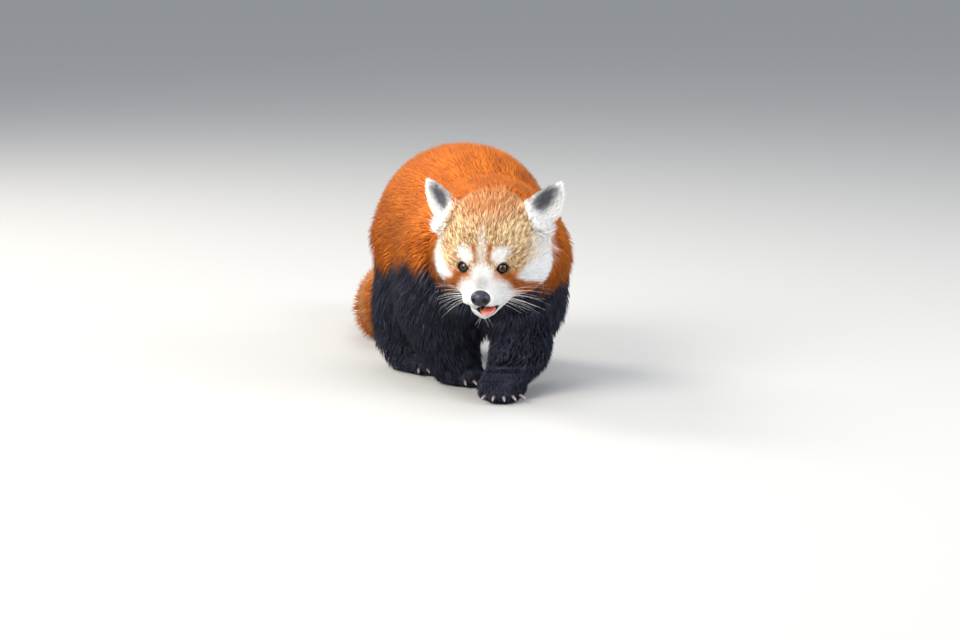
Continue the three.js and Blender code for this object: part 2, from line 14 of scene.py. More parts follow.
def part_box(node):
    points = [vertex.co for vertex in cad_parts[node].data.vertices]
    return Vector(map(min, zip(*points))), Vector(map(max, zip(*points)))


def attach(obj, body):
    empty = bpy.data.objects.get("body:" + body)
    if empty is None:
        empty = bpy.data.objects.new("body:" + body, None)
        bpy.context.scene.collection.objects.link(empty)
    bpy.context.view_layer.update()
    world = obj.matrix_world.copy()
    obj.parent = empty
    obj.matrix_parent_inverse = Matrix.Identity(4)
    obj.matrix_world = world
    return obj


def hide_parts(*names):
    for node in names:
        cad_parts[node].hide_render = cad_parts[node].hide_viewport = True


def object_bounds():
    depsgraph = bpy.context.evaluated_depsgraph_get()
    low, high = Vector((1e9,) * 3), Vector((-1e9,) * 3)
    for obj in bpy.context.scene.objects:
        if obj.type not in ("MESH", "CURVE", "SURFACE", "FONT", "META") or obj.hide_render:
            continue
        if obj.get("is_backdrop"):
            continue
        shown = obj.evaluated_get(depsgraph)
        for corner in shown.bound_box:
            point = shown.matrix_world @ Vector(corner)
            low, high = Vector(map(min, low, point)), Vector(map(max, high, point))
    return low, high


bl_info = {
    "name": "Red panda",
    "version": (1, 0, 0),
    "blender": (4, 5, 0),
    "location": "3D Viewport > Sidebar > Red panda",
    "description": "Builds the skin, coat and face of a life-size red panda over its solids",
    "category": "Object",
}

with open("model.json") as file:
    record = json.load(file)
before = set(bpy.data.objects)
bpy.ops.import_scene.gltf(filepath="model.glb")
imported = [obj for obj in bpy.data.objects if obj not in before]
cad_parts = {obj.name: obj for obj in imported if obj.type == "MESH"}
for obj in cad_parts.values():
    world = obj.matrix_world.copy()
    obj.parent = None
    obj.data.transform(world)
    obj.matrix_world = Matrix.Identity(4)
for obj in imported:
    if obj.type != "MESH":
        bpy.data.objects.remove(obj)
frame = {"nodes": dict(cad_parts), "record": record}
solid_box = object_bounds()

# Places are in millimetres from the point on the floor under the shoulders, the animal facing -Y.
MM = 0.001
FOOT_FROM_SHOULDER = np.array([-20.0, -98.0, 0.0])
SOLES = {mount["name"]: np.array(mount["pos_m"]) / MM for mount in frame["record"]["mounts"]}
SHOULDER = SOLES["sole_front_left"] - FOOT_FROM_SHOULDER

# The head's own frame: to its left, backward and upward from the middle of the skull
HEAD_YAW = math.radians(-32)
HEAD_PITCH = math.radians(15)
EYE_BACK = -47.05
EYE_UP = 1.0
HEAD_AXES = np.array(Matrix.Rotation(HEAD_YAW, 3, "Z") @ Matrix.Rotation(HEAD_PITCH, 3, "X"))


def node_middle(name):
    """The middle of a node's box, in millimetres."""
    low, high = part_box(name)
    return (np.array(low) + np.array(high)) / 2 / MM


EYES = {side: node_middle(f"eye_{side}") for side in ("right", "left")}
EYE_RADIUS = np.diff(np.array(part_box("eye_left")), axis=0)[0, 2] / 2 / MM
HEAD = (EYES["right"] + EYES["left"]) / 2 - HEAD_AXES @ np.array([0, EYE_BACK, EYE_UP])
NOSE_TIP = np.array([0.0, -84.0, -27.0])
EAR_ROOT = np.array([54.0, 6.0, 36.5])
EAR_HEIGHT = 56.0
EAR_HALF_WIDTH = 31.0
EAR_CUP = 9.0
EAR_PITCH = math.radians(7)
EAR_YAW = {-1: math.radians(-67), 1: math.radians(-6)}
EAR_ROLL = {-1: math.radians(-32), 1: math.radians(32)}
# Across, through from front to back, and along each ear
EAR_AXES = {
    side: np.array(
        Matrix.Rotation(EAR_YAW[side], 3, "Z")
        @ Matrix.Rotation(EAR_PITCH, 3, "X")
        @ Matrix.Rotation(EAR_ROLL[side], 3, "Y")
    )
    for side in (-1, 1)
}

CLAWS = [name for name in frame["nodes"] if "claw" in name]
FLESH = [name for name in frame["nodes"] if "claw" not in name and name != "tongue"]
SKIN_NODES = [name for name in FLESH if name != "nose" and not name.startswith("eye")]


def into_head(points):
    """Points of the model's frame, in the head's own frame."""
    return (points - HEAD) @ HEAD_AXES


def out_of_head(points):
    """Points of the head's own frame, in the model's frame."""
    return np.asarray(points, float) @ HEAD_AXES.T + HEAD


# Lines along the body: start, end, outer radius, depth of the coat and the group they belong to
def body_line(start, end, radius, depth, group):
    return (SHOULDER + start, SHOULDER + end, radius, depth, group)


LINES = [
    body_line((-4, -30, 172), (2, 60, 172), 84, 17, "trunk"),
    body_line((4, 60, 172), (6, 150, 178), 90, 20, "trunk"),
    body_line((6, 150, 178), (2, 205, 190), 80, 20, "trunk"),
    body_line((-22, -74, 178), (-8, -30, 174), 74, 15, "neck"),
    body_line((0, 222, 188), (0, 268, 118), 38, 22, "tail"),
    body_line((0, 268, 118), (-6, 312, 64), 42, 27, "tail"),
    body_line((-6, 312, 64), (4, 368, 44), 45, 29, "tail"),
    body_line((4, 368, 44), (30, 440, 43), 46, 30, "tail"),
    body_line((30, 440, 43), (58, 510, 40), 44, 29, "tail"),
    body_line((58, 510, 40), (80, 566, 34), 38, 26, "tail"),
    body_line((80, 566, 34), (94, 606, 24), 27, 19, "tail"),
    body_line((50, 0, 158), (53, -7, 104), 45, 16, "leg"),
    body_line((53, -7, 104), (21, -58, 56), 37, 12, "leg"),
    body_line((21, -58, 56), (-7, -84, 28), 30, 7, "leg"),
    body_line((-7, -84, 24), (-21, -118, 10), 24, 4.0, "foot"),
    body_line((-56, 6, 158), (-62, 24, 104), 45, 16, "leg"),
    body_line((-62, 24, 104), (-43, 28, 56), 39, 13, "leg"),
    body_line((-43, 28, 56), (-32, 24, 27), 30, 8, "leg"),
    body_line((-32, 24, 24), (-22, -8, 10), 22, 4.0, "foot"),
    body_line((-40, 142, 150), (-52, 120, 98), 52, 18, "leg"),
    body_line((-52, 120, 98), (-56, 150, 52), 41, 13, "leg"),
    body_line((-56, 150, 52), (-54, 142, 26), 30, 8, "leg"),
    body_line((-54, 142, 22), (-44, 90, 10), 22, 4.0, "foot"),
    body_line((50, 152, 150), (64, 158, 98), 52, 18, "leg"),
    body_line((64, 158, 98), (44, 222, 56), 42, 13, "leg"),
    body_line((44, 222, 56), (34, 238, 28), 30, 8, "leg"),
    body_line((34, 240, 22), (22, 190, 10), 22, 4.0, "foot"),
]
EAR_DEPTH = 2.0
HEAD_LINE = (out_of_head([0, 34, 2]), out_of_head([0, -22, -8]), 64, 0, "head")
EAR_ROOTS = {side: out_of_head(EAR_ROOT * [side, 1, 1]) for side in (-1, 1)}
EAR_LINES = [
    (
        EAR_ROOTS[side] + EAR_AXES[side] @ np.array([0, 3, 6]),
        EAR_ROOTS[side] + EAR_AXES[side] @ np.array([0, 3, EAR_HEIGHT - 8]),
        21,
        EAR_DEPTH,
        "ear",
    )
    for side in (-1, 1)
]
ALL_LINES = LINES + [HEAD_LINE] + EAR_LINES
# How sharply the share of one line gives way to the next
LINE_SOFTNESS = 9.0
# How far below its root the hair of an ear fans out from
EAR_FAN = 60
# Depths of the coat on the head
MUZZLE_DEPTH = 1.6
SKULL_DEPTH = 4.2
CHEEK_DEPTH = 4.0
CROWN_DEPTH = 3.0
NAPE_DEPTH = 6.0
LID_DEPTH = 1.5
LIP_DEPTH = 0.5


def smooth(low, high, x):
    """0 below low, 1 above high, and an even rise between."""
    t = np.clip((x - low) / (high - low), 0, 1)
    return t * t * (3 - 2 * t)


def unit(vectors):
    """The same directions, each one long."""
    return vectors / np.maximum(np.linalg.norm(vectors, axis=-1, keepdims=True), 1e-9)


def face_depth(local):
    """Depth of the coat on the head, thin on the muzzle and round the eyes, deep on the cheeks."""
    side = np.abs(local[:, 0])
    back, up = local[:, 1], local[:, 2]
    depth = MUZZLE_DEPTH + SKULL_DEPTH * smooth(-52, -12, back)
    depth += CHEEK_DEPTH * smooth(28, 62, side) * smooth(-58, -20, back)
    depth += CROWN_DEPTH * smooth(30, 64, up) + NAPE_DEPTH * smooth(10, 45, back)
    eye = np.hypot(side - 20, up - 1)
    near_eye = (1 - smooth(9, 20, eye)) * (1 - smooth(-30, -14, back))
    depth += (LID_DEPTH - depth) * near_eye
    mouth = (1 - smooth(4, 10, np.abs(up + 42))) * (1 - smooth(-52, -40, back))
    depth += (LIP_DEPTH - depth) * mouth * (1 - smooth(20, 28, side))
    return depth


def trunk_way(points):
    """The way the coat of the trunk runs: backward, and down on the flanks, the belly and the breast."""
    side = np.abs(points[:, 0] - SHOULDER[0])
    low = 1 - smooth(90, 200, points[:, 2])
    front = 1 - smooth(-80, -20, points[:, 1] - SHOULDER[1])
    upward = -0.5 * smooth(30, 90, side) - 0.5 * low - front
    return unit(np.stack([0 * side, 1 - 0.75 * front, upward], 1))


def anatomy(points):
    """For each point: the coat's depth, the way the coat runs, and the share of each group."""
    offsets = []
    ways = []
    for start, end, radius, _, _ in ALL_LINES:
        along = end - start
        t = np.clip((points - start) @ along / (along @ along), 0, 1)
        offsets.append(np.linalg.norm(points - start - t[:, None] * along, axis=1) / radius)
        ways.append(along / np.linalg.norm(along))
    offsets = np.array(offsets)
    weights = np.exp(-LINE_SOFTNESS * (offsets - offsets.min(axis=0)))
    weights /= weights.sum(axis=0)
    over_trunk = trunk_way(points)
    depth = np.zeros(len(points))
    way = np.zeros_like(points)
    shares = {}
    for (start, _, _, line_depth, group), weight, lie in zip(ALL_LINES, weights, ways):
        if group == "head":
            line_depth = face_depth(into_head(points))
            lie = unit(points - out_of_head(NOSE_TIP))
        elif group == "ear":
            lie = unit(points - start + EAR_FAN * lie)
        elif group in ("trunk", "neck"):
            lie = over_trunk
        way += weight[:, None] * lie
        depth += weight * line_depth
        shares[group] = shares.get(group, 0) + weight
    return depth, unit(way), shares


def group_shares(points):
    """How much of each group of lines lies at each point."""
    return anatomy(points)[2]


class Field:
    """Numbers on an even grid of cells, in millimetres."""

    SLOPE_STEP = 0.6
    LAST_CELL = 1.001

    def __init__(self, values, low, cell):
        self.values = values
        self.low = np.array(low)
        self.cell = cell

    def at(self, points):
        grid = points / self.cell - self.low
        size = np.array(self.values.shape)
        grid = np.clip(grid, 0, size - self.LAST_CELL)
        base = grid.astype(np.int64)
        x, y, z = (grid - base).T
        flat = self.values.ravel()
        step = (size[1] * size[2], size[2], 1)
        start = base @ np.array(step)
        total = 0
        for i, share_x in ((0, 1 - x), (1, x)):
            for j, share_y in ((0, 1 - y), (1, y)):
                for k, share_z in ((0, 1 - z), (1, z)):
                    spot = start + i * step[0] + j * step[1] + k
                    total = total + share_x * share_y * share_z * flat[spot]
        return total

    def slope(self, points):
        nudge = np.eye(3) * self.cell * self.SLOPE_STEP
        return unit(np.stack([self.at(points + n) - self.at(points - n) for n in nudge], 1))


def grid_points(low, shape, cell):
    """The places of a grid's cells, in millimetres."""
    axes = [(np.arange(n) + start) * cell for n, start in zip(shape, low)]
    return np.stack(np.meshgrid(*axes, indexing="ij"), -1).reshape(-1, 3)


def blurred(values, reach):
    """Evens out a grid along each axis with a short bell curve."""
    steps = np.arange(-math.ceil(2 * reach), math.ceil(2 * reach) + 1)
    bell = np.exp(-0.5 * (steps / reach) ** 2)
    bell /= bell.sum()
    for axis in range(3):
        moved = np.moveaxis(values, axis, 0)
        wide = np.pad(moved, [(len(steps) // 2,) * 2, (0, 0), (0, 0)], mode="edge")
        count = moved.shape[0]
        moved = sum(share * wide[i : i + count] for i, share in enumerate(bell))
        values = np.moveaxis(moved, 0, axis)
    return np.ascontiguousarray(values)


def to_field(points, triangles, quads, cell, reach, low_mm, high_mm):
    """Signed distance from a closed surface on a grid between two corners."""
    grid = openvdb.FloatGrid.createLevelSetFromPolygons(
        np.ascontiguousarray(points, np.float32),
        triangles=np.ascontiguousarray(triangles, np.uint32),
        quads=np.ascontiguousarray(quads, np.uint32),
        transform=openvdb.createLinearTransform(voxelSize=cell),
        halfWidth=reach / cell,
    )
    low = np.floor(np.array(low_mm) / cell).astype(int)
    shape = np.ceil(np.array(high_mm) / cell).astype(int) - low
    values = np.empty(shape, np.float32)
    grid.copyToArray(values, ijk=tuple(int(n) for n in low))
    return Field(values, low, cell)


def surface_of(field):
    """The zero of a field as points and faces, facing outward."""
    grid = openvdb.FloatGrid(float(field.values.max()))
    grid.transform = openvdb.createLinearTransform(voxelSize=field.cell)
    grid.copyFromArray(field.values, ijk=tuple(int(n) for n in field.low))
    return grid.convertToPolygons(isovalue=0.0)


def mesh_arrays(mesh):
    """The vertices of a mesh, in metres, and its triangles."""
    co = np.empty(len(mesh.vertices) * 3, np.float32)
    mesh.vertices.foreach_get("co", co)
    mesh.calc_loop_triangles()
    corners = np.empty(len(mesh.loop_triangles) * 3, np.int32)
    mesh.loop_triangles.foreach_get("vertices", corners)
    return co.reshape(-1, 3), corners.reshape(-1, 3)


def mesh_points(mesh):
    """The vertices of a mesh, in millimetres."""
    return mesh_arrays(mesh)[0].astype(float) / MM


def solids_together(names):
    """The vertices and triangles of several nodes, in millimetres."""
    points, triangles, count = [], [], 0
    for name in names:
        co, corners = mesh_arrays(frame["nodes"][name].data)
        points.append(co / MM)
        triangles.append(corners + count)
        count += len(co)
    return np.concatenate(points), np.concatenate(triangles)


# The outer coat: its solids are swollen until they join, then a field is made around them
MARGIN = 12
WELD_CELL = 2.0
WELD_GRID = 0.02
WELD_REACH = 6.0
WELD_BLUR = 0.3
WELD_SWELL = 0.6
BODY_CELL = 2.6
BODY_REACH = 42.0
BODY_BLUR = 4.0
BODY_DEPTH_CELL = 7.0
FOOT_BLUR = 1.0
FOOT_TOP = (26.0, 60.0)
HEAD_CELL = 1.2
HEAD_REACH = 16.0
HEAD_BLUR = 1.7
HEAD_DEPTH_CELL = 2.4
HEAD_FIELD_MIDDLE = (0, -8, 14)
HEAD_FIELD_BELOW = (98, 98, 102)
HEAD_FIELD_ABOVE = (98, 98, 92)
# The skin: where the head's piece ends, how far the two pieces overlap, and the least height of a sole
NECK_CUT = 30.0
HEAD_FLOOR = -66.0
SKIN_OVERLAP = 1.0
SOLE_HEIGHT = 1.4
# Lids and eye sockets
GAZE = (0.30, -0.94, 0.10)
EYE_TILT = (0.1, 0.0, 1.0)
EYE_OPENING = (6.3, 5.8)
LID_THICKNESS = 1.3
LID_BLEND = 5.0
LID_FRONT = 2.0
SOCKET_GAP = 0.25
# Edges of the lips from the corner of the mouth forward, and the round filling between the jaws
MOUTH_FORWARD = (42, 55, 64, 75, 90)
LIP_UPPER = (-38, -38, -37.8, -37.2, -35)
LIP_LOWER = (-38, -46.5, -51.5, -54.2, -56.5)
LIP_ROUNDING = 2.0
MOUTH_SHIFT = 10.0
MOUTH_HALF_WIDTH = 13.5
MOUTH_ARCH = 4.0
MOUTH_BOWL = 5.0
MOUTH_FILL = np.array([0.0, -54.0, -45.0])
MOUTH_FILL_SIZE = np.array([16.0, 15.5, 11.0])
MOUTH_FILL_BLEND = 3.0


def soft_least(a, b, width):
    """The lesser of two distances, rounded where they are nearly the same."""
    overlap = np.maximum(width - np.abs(a - b), 0) / width
    return np.minimum(a, b) - overlap * overlap * width / 4


def eye_frame(side):
    """Across, up and gaze of one eye, in the head's own frame."""
    sign = 1 if side == "left" else -1
    mirror = np.array([sign, 1, 1])
    gaze = unit(mirror * GAZE)
    tilt = mirror * EYE_TILT
    up = unit(tilt - gaze * (tilt @ gaze))
    across = np.cross(up, gaze) * sign
    return across, up, gaze


def from_eye(local, side):
    """How far points lie across, above and in front of the middle of one eye."""
    offset = local - into_head(EYES[side])
    return (offset @ axis for axis in eye_frame(side))


def in_head(points):
    """Millimetres inside the part of the skin that belongs to the head, below 0 outside it."""
    local = into_head(points)
    return np.minimum(NECK_CUT - local[:, 1], local[:, 2] - HEAD_FLOOR)


def mouth_opening(local):
    """Middle height and half the height of the open mouth at each point, in the head's own frame."""
    forward = -local[:, 1]
    upper = np.interp(forward, MOUTH_FORWARD, LIP_UPPER)
    lower = np.interp(forward, MOUTH_FORWARD, LIP_LOWER)
    sideways = np.clip(np.abs(local[:, 0] - MOUTH_SHIFT) / MOUTH_HALF_WIDTH, 0, 1.3) ** 2
    upper = upper - MOUTH_ARCH * sideways
    lower = lower + MOUTH_BOWL * sideways
    return (upper + lower) / 2, (upper - lower) / 2


def with_mouth(field_value, local):
    """Fills the slot between the jaws and opens the mouth in it with rounded lips."""
    filler = np.linalg.norm((local - MOUTH_FILL) / MOUTH_FILL_SIZE, axis=1)
    filler = (filler - 1) * MOUTH_FILL_SIZE.min()
    field_value = soft_least(field_value, filler, MOUTH_FILL_BLEND)
    middle, half = mouth_opening(local)
    opening = np.abs(local[:, 2] - middle) - half
    opening = np.maximum(opening, local[:, 1] + MOUTH_FORWARD[0])
    return -soft_least(-field_value, opening, LIP_ROUNDING)


def almond(out, up):
    """1 on the edge of the opened lids, less inside it; the corner by the nose sits lower."""
    out = out / EYE_OPENING[0]
    height = EYE_OPENING[1] * np.clip(1 - 0.30 * out * out, 0.4, 1)
    return np.hypot(out, (up - 0.9 * out) / height)


def with_lids(field_value, local):
    """Adds the lids and sinks the sockets into the skin's distance."""
    for side in EYES:
        ball = np.linalg.norm(local - into_head(EYES[side]), axis=1)
        across, up, front = from_eye(local, side)
        lid = ball - EYE_RADIUS - LID_THICKNESS
        field_value = soft_least(field_value, lid, LID_BLEND)
        opening = np.maximum((almond(across, up) - 1) * EYE_OPENING[1], LID_FRONT - front)
        socket = ball - EYE_RADIUS - SOCKET_GAP
        field_value = np.maximum(field_value, -np.minimum(socket, opening))
    return field_value


def build_form():
    """The outer surface of the coat, as one field for the body and a finer one for the head."""
    points, triangles = solids_together(FLESH)
    low, high = points.min(0) - MARGIN, points.max(0) + MARGIN
    no_quads = np.zeros((0, 4), np.uint32)
    rough = to_field(points, triangles, no_quads, WELD_CELL, WELD_REACH, low, high)
    rough.values = blurred(rough.values, WELD_BLUR) - WELD_SWELL
    points, triangles, quads = surface_of(rough)
    body = to_field(points, triangles, quads, BODY_CELL, BODY_REACH, low, high)
    heights = (body.low[2] + np.arange(body.values.shape[2])) * body.cell
    soft = smooth(*FOOT_TOP, heights).astype(np.float32)
    firm = blurred(body.values, FOOT_BLUR / BODY_CELL)
    body.values = firm + soft * (blurred(body.values, BODY_BLUR / BODY_CELL) - firm)
    middle = out_of_head(HEAD_FIELD_MIDDLE)
    near, far = middle - HEAD_FIELD_BELOW, middle + HEAD_FIELD_ABOVE
    head = to_field(points, triangles, quads, HEAD_CELL, HEAD_REACH, near, far)
    head.values = blurred(head.values, HEAD_BLUR / HEAD_CELL)
    for field in (body, head):
        field.values += WELD_SWELL
    return body, head


def skin_values(form, depths, neck_side):
    """Distance from the skin on a form's grid; neck_side is 1 for the head's piece, -1 for the body's."""
    points = grid_points(form.low, form.values.shape, form.cell)
    values = form.values.ravel().astype(float)
    near = np.abs(values) < BODY_REACH
    values[near] += depths.at(points[near])
    if neck_side > 0:
        local = into_head(points)
        values = with_mouth(with_lids(values, local), local)
    values = np.maximum(values, -in_head(points) * neck_side - SKIN_OVERLAP)
    values = np.maximum(values, SOLE_HEIGHT - points[:, 2])
    return Field(values.reshape(form.values.shape).astype(np.float32), form.low, form.cell)


def depth_field(form, cell):
    """The coat's depth on a coarser grid over a form."""
    first = np.floor(form.low * form.cell / cell).astype(int)
    shape = np.ceil((form.low + form.values.shape) * form.cell / cell).astype(int) - first + 1
    depth, _, _ = anatomy(grid_points(first, shape, cell))
    return Field(depth.reshape(shape).astype(np.float32), first, cell)


def new_mesh(name, points, faces):
    """A mesh object from points in millimetres and a list of arrays of faces."""
    mesh = bpy.data.meshes.new(name)
    corners = np.concatenate([f.ravel() for f in faces]).astype(np.int32)
    sizes = np.concatenate([np.full(len(f), f.shape[1], np.int32) for f in faces])
    mesh.vertices.add(len(points))
    mesh.vertices.foreach_set("co", (np.asarray(points) * MM).astype(np.float32).ravel())
    mesh.loops.add(len(corners))
    mesh.loops.foreach_set("vertex_index", corners)
    mesh.polygons.add(len(sizes))
    starts = np.concatenate([[0], np.cumsum(sizes)[:-1]])
    mesh.polygons.foreach_set("loop_start", starts.astype(np.int32))
    mesh.update(calc_edges=True)
    mesh.validate()
    mesh.polygons.foreach_set("use_smooth", np.ones(len(mesh.polygons), bool))
    obj = bpy.data.objects.new(name, mesh)
    bpy.context.scene.collection.objects.link(obj)
    return obj


def put(mesh, name, values):
    """Stores one number for each vertex."""
    layer = mesh.attributes.new(name, "FLOAT", "POINT")
    layer.data.foreach_set("value", np.asarray(values, np.float32))


RIPPLE_WAVES = 7
RIPPLE_PHASES = 6.28


def ripple(points, size, seed):
    """Smooth uneven waves between about -1 and 1, for ragged edges of the markings."""
    draw = np.random.RandomState(seed)
    total = np.zeros(len(points))
    for _ in range(RIPPLE_WAVES):
        way = unit(draw.normal(size=3)) * 2 * math.pi / (size * draw.uniform(0.6, 1.6))
        total += np.sin(points @ way + draw.uniform(0, RIPPLE_PHASES))
    return total / 4


def blob(x, y, middle, radii, turn=0.0, edge=0.35):
    """1 inside an ellipse on the face, fading at its edge."""
    dx, dy = x - middle[0], y - middle[1]
    c, s = math.cos(math.radians(turn)), math.sin(math.radians(turn))
    away = np.hypot((dx * c + dy * s) / radii[0], (dy * c - dx * s) / radii[1])
    return 1 - smooth(1 - edge, 1 + edge, away)


def stroke(x, y, start, end, start_half, end_half, edge=2.5):
    """1 inside a tapered bar on the face, fading over a few millimetres."""
    way = np.array(end, float) - start
    t = np.clip(((x - start[0]) * way[0] + (y - start[1]) * way[1]) / (way @ way), 0, 1)
    away = np.hypot(x - start[0] - t * way[0], y - start[1] - t * way[1])
    return 1 - smooth(-edge, edge, away - start_half - t * (end_half - start_half))


MARKS = ("black", "white", "cream", "dark", "grey", "pale", "orange")
# Height of the edge between black and rust at places along the body
EDGE_BACK = (-90, -40, 0, 60, 120, 180, 240)
EDGE_HEIGHT = (144, 158, 165, 150, 144, 152, 184)
EDGE_SOFTNESS = 9
# How far along the tail its places lie from its root, and its pale rings
TAIL_BACK = (215, 268, 312, 368, 440, 510, 566, 610)
TAIL_ALONG = (0, 86, 156, 216, 292, 368, 428, 470)
RING_SPACING = 58
RING_START = 2.6
# Round spots of the face, seen from in front: middle, radii, turn in degrees and softness
BROW = ((19, 16), (10.5, 8.5), 25, 0.45)
CHEEK = ((55, -16), (20, 18), 0, 0.25)
MUZZLE = ((0, -31), (31, 24), 0, 0.22)
BRIDGE = ((0, -8), (13, 16), 0, 0.4)
STREAK = ((0, 21), (5.5, 19), 0, 0.6)
# The spot over the nose is a painted shade on its bridge
NOSE_SHADE = ((0, -14), (7, 6), 0, 0.7)
# Bars of the face: start, end, half the width at each, and softness
TEAR_TRACK = ((26.5, -8), (41, -30), 3.6, 7.0)
BROW_LINE = ((7.5, 7), (9, 26), 1.6, 2.6, 1.6)
EYE_CORNER = ((-6.0, -1.0), (-9.5, -3.6), 1.6, 0.5, 1.2)
# The dark hollow of an ear, towards the head from the ear's middle
HOLLOW_MIDDLE = (-7, 25)
HOLLOW_RADII = (11, 18)
HOLLOW_SOFTNESS = 0.55
# How much of a group of lines makes a point belong to it
BELONGS = (0.35, 0.6)


def body_marks(points, tail_share):
    """Black of the legs and the belly, and the tail's pale rings and dark tip."""
    x, y, z = (points - SHOULDER).T
    ragged = ripple(points, 26, 3)
    edge = np.interp(y, EDGE_BACK, EDGE_HEIGHT)
    edge = edge - 8 * smooth(20, 80, x) * (1 - smooth(0, 60, y))
    breast = 30 * (1 - smooth(20, 50, np.abs(x + 14))) * (1 - smooth(-60, -30, y))
    black = 1 - smooth(-EDGE_SOFTNESS, EDGE_SOFTNESS, z - edge - breast - 6 * ragged)
    black = black * (1 - smooth(0.3, 0.7, tail_share))

    length = np.interp(y, TAIL_BACK, TAIL_ALONG)
    turns = length * 2 * math.pi / RING_SPACING + RING_START + 0.35 * ragged
    on_tail = smooth(0.4, 0.8, tail_share)
    pale = on_tail * smooth(0.42, 0.82, 0.5 + 0.5 * np.sin(turns))
    pale = pale * smooth(30, 90, length) * (1 - smooth(420, 445, length))
    return black, pale, on_tail * smooth(425, 455, length)


def face_marks(points, local):
    """White, orange and cream of the face, and the painted shade on the bridge above the nose."""
    side, back, up = np.abs(local[:, 0]), local[:, 1], local[:, 2]
    fine = ripple(points, 9, 5)
    wavy_side, wavy_up = side + 1.5 * fine, up + 1.5 * ripple(points, 8, 9)
    brow, cheek, muzzle = (blob(wavy_side, wavy_up, *spot) for spot in (BROW, CHEEK, MUZZLE))
    bridge, streak = (blob(side, up, *spot) for spot in (BRIDGE, STREAK))
    rim_stripe = smooth(41, 54, side) * smooth(-8, 4, up) * (1 - smooth(44, 56, up))
    chin = (1 - smooth(-50, -44, up)) * (1 - smooth(-30, -18, back)) * (1 - smooth(22, 30, side))
    white = np.maximum.reduce([brow, cheek, 0.85 * rim_stripe, muzzle, bridge, 0.5 * streak, chin])

    under = smooth(30, 42, side) * (1 - smooth(-41, -33, up)) * smooth(-62, -40, back)
    track = stroke(wavy_side, wavy_up, *TEAR_TRACK)
    between = stroke(side, up, *BROW_LINE)
    orange = np.maximum.reduce([track, 0.9 * under, 0.6 * between])

    crown = smooth(36, 62, up + 5 * fine) * (1 - smooth(46, 58, side))
    nape = smooth(8, 34, back)
    cream = (1 - np.maximum(0.8 * crown, nape)) * smooth(-8, 6, up + 0.1 * side)
    cream = np.maximum(cream, 0.65 * smooth(40, 60, side) * smooth(-30, 0, up))
    # A painted shade on the bridge above the nose, on the front of the face only
    grey = blob(side, up, *NOSE_SHADE) * (1 - smooth(-60, -45, back)) * 0.5
    return white * (1 - orange), orange, cream * (1 - nape) * (1 - orange), grey


def lid_marks(local):
    """Dark lines along the lids and out of the corners of the eyes."""
    rim = 0
    for side in EYES:
        across, up, front = from_eye(local, side)
        lid_line = 1 - smooth(1.16, 1.40, almond(across, up))
        corner = stroke(across, up, *EYE_CORNER)
        rim = np.maximum(rim, np.maximum(lid_line, corner) * smooth(-2, 1, front))
    return rim


def ear_marks(points):
    """Dark hair inside the cup of each ear and white along its rims."""
    black = np.zeros(len(points))
    white = np.zeros(len(points))
    uneven = ripple(points, 5, 4)
    for side, root in EAR_ROOTS.items():
        across, through, height = ((points - root) @ EAR_AXES[side]).T
        here = np.linalg.norm(points - root, axis=1) < 1.6 * EAR_HEIGHT
        arch = np.sin(math.pi * np.clip(height / EAR_HEIGHT, 0, 1))
        middle = EAR_CUP * arch * np.clip(1 - (across / EAR_HALF_WIDTH) ** 2, 0, 1)
        front = 1 - smooth(-1.0, 3.0, through - middle)
        half = EAR_HALF_WIDTH - 24 * np.clip((height - 4) / 45, 0, 1) ** 1.5
        spot = ((HOLLOW_MIDDLE[0] * side, HOLLOW_MIDDLE[1]), HOLLOW_RADII, 0, HOLLOW_SOFTNESS)
        hollow = 0.9 * blob(across + 1.5 * uneven, height + 3 * uneven, *spot)
        hollow = hollow * (1 - smooth(0.6, 0.88, np.abs(across) / half)) * smooth(3, 13, height)
        out = np.hypot(across / EAR_HALF_WIDTH, (height - 20) / (EAR_HEIGHT - 20))
        rim = smooth(0.62, 0.9, out)
        back = 0.55 * here * (1 - front) * (1 - rim) * smooth(10, 24, height)
        black = np.maximum.reduce([black, here * hollow * front, back])
        white = np.maximum(white, here * np.maximum(front, rim))
    return black, white


def markings(points):
    """How much of each colour of the coat lies over the rust at each point."""
    local = into_head(points)
    shares = group_shares(points)
    head = smooth(*BELONGS, np.clip(shares["head"] + shares["ear"], 0, 1))
    on_ear = smooth(*BELONGS, shares["ear"])
    black, pale, tip = body_marks(points, shares["tail"])
    white, orange, cream, grey = face_marks(points, local)
    ear_black, ear_white = ear_marks(points)
    rim = lid_marks(local)
    throat = smooth(8, 30, local[:, 1]) * (1 - smooth(-44, -30, local[:, 2]))
    head_black = np.maximum(np.maximum(throat, rim) * (1 - on_ear), ear_black * on_ear)
    values = {
        "black": black * (1 - head) + head * head_black,
        "white": head * (white * (1 - on_ear) + ear_white * on_ear) * (1 - rim),
        "cream": head * cream * (1 - on_ear),
        "dark": tip,
        "grey": head * grey,
        "pale": pale,
        "orange": head * orange * (1 - on_ear),
    }
    return {name: np.clip(values[name], 0, 1) for name in MARKS}


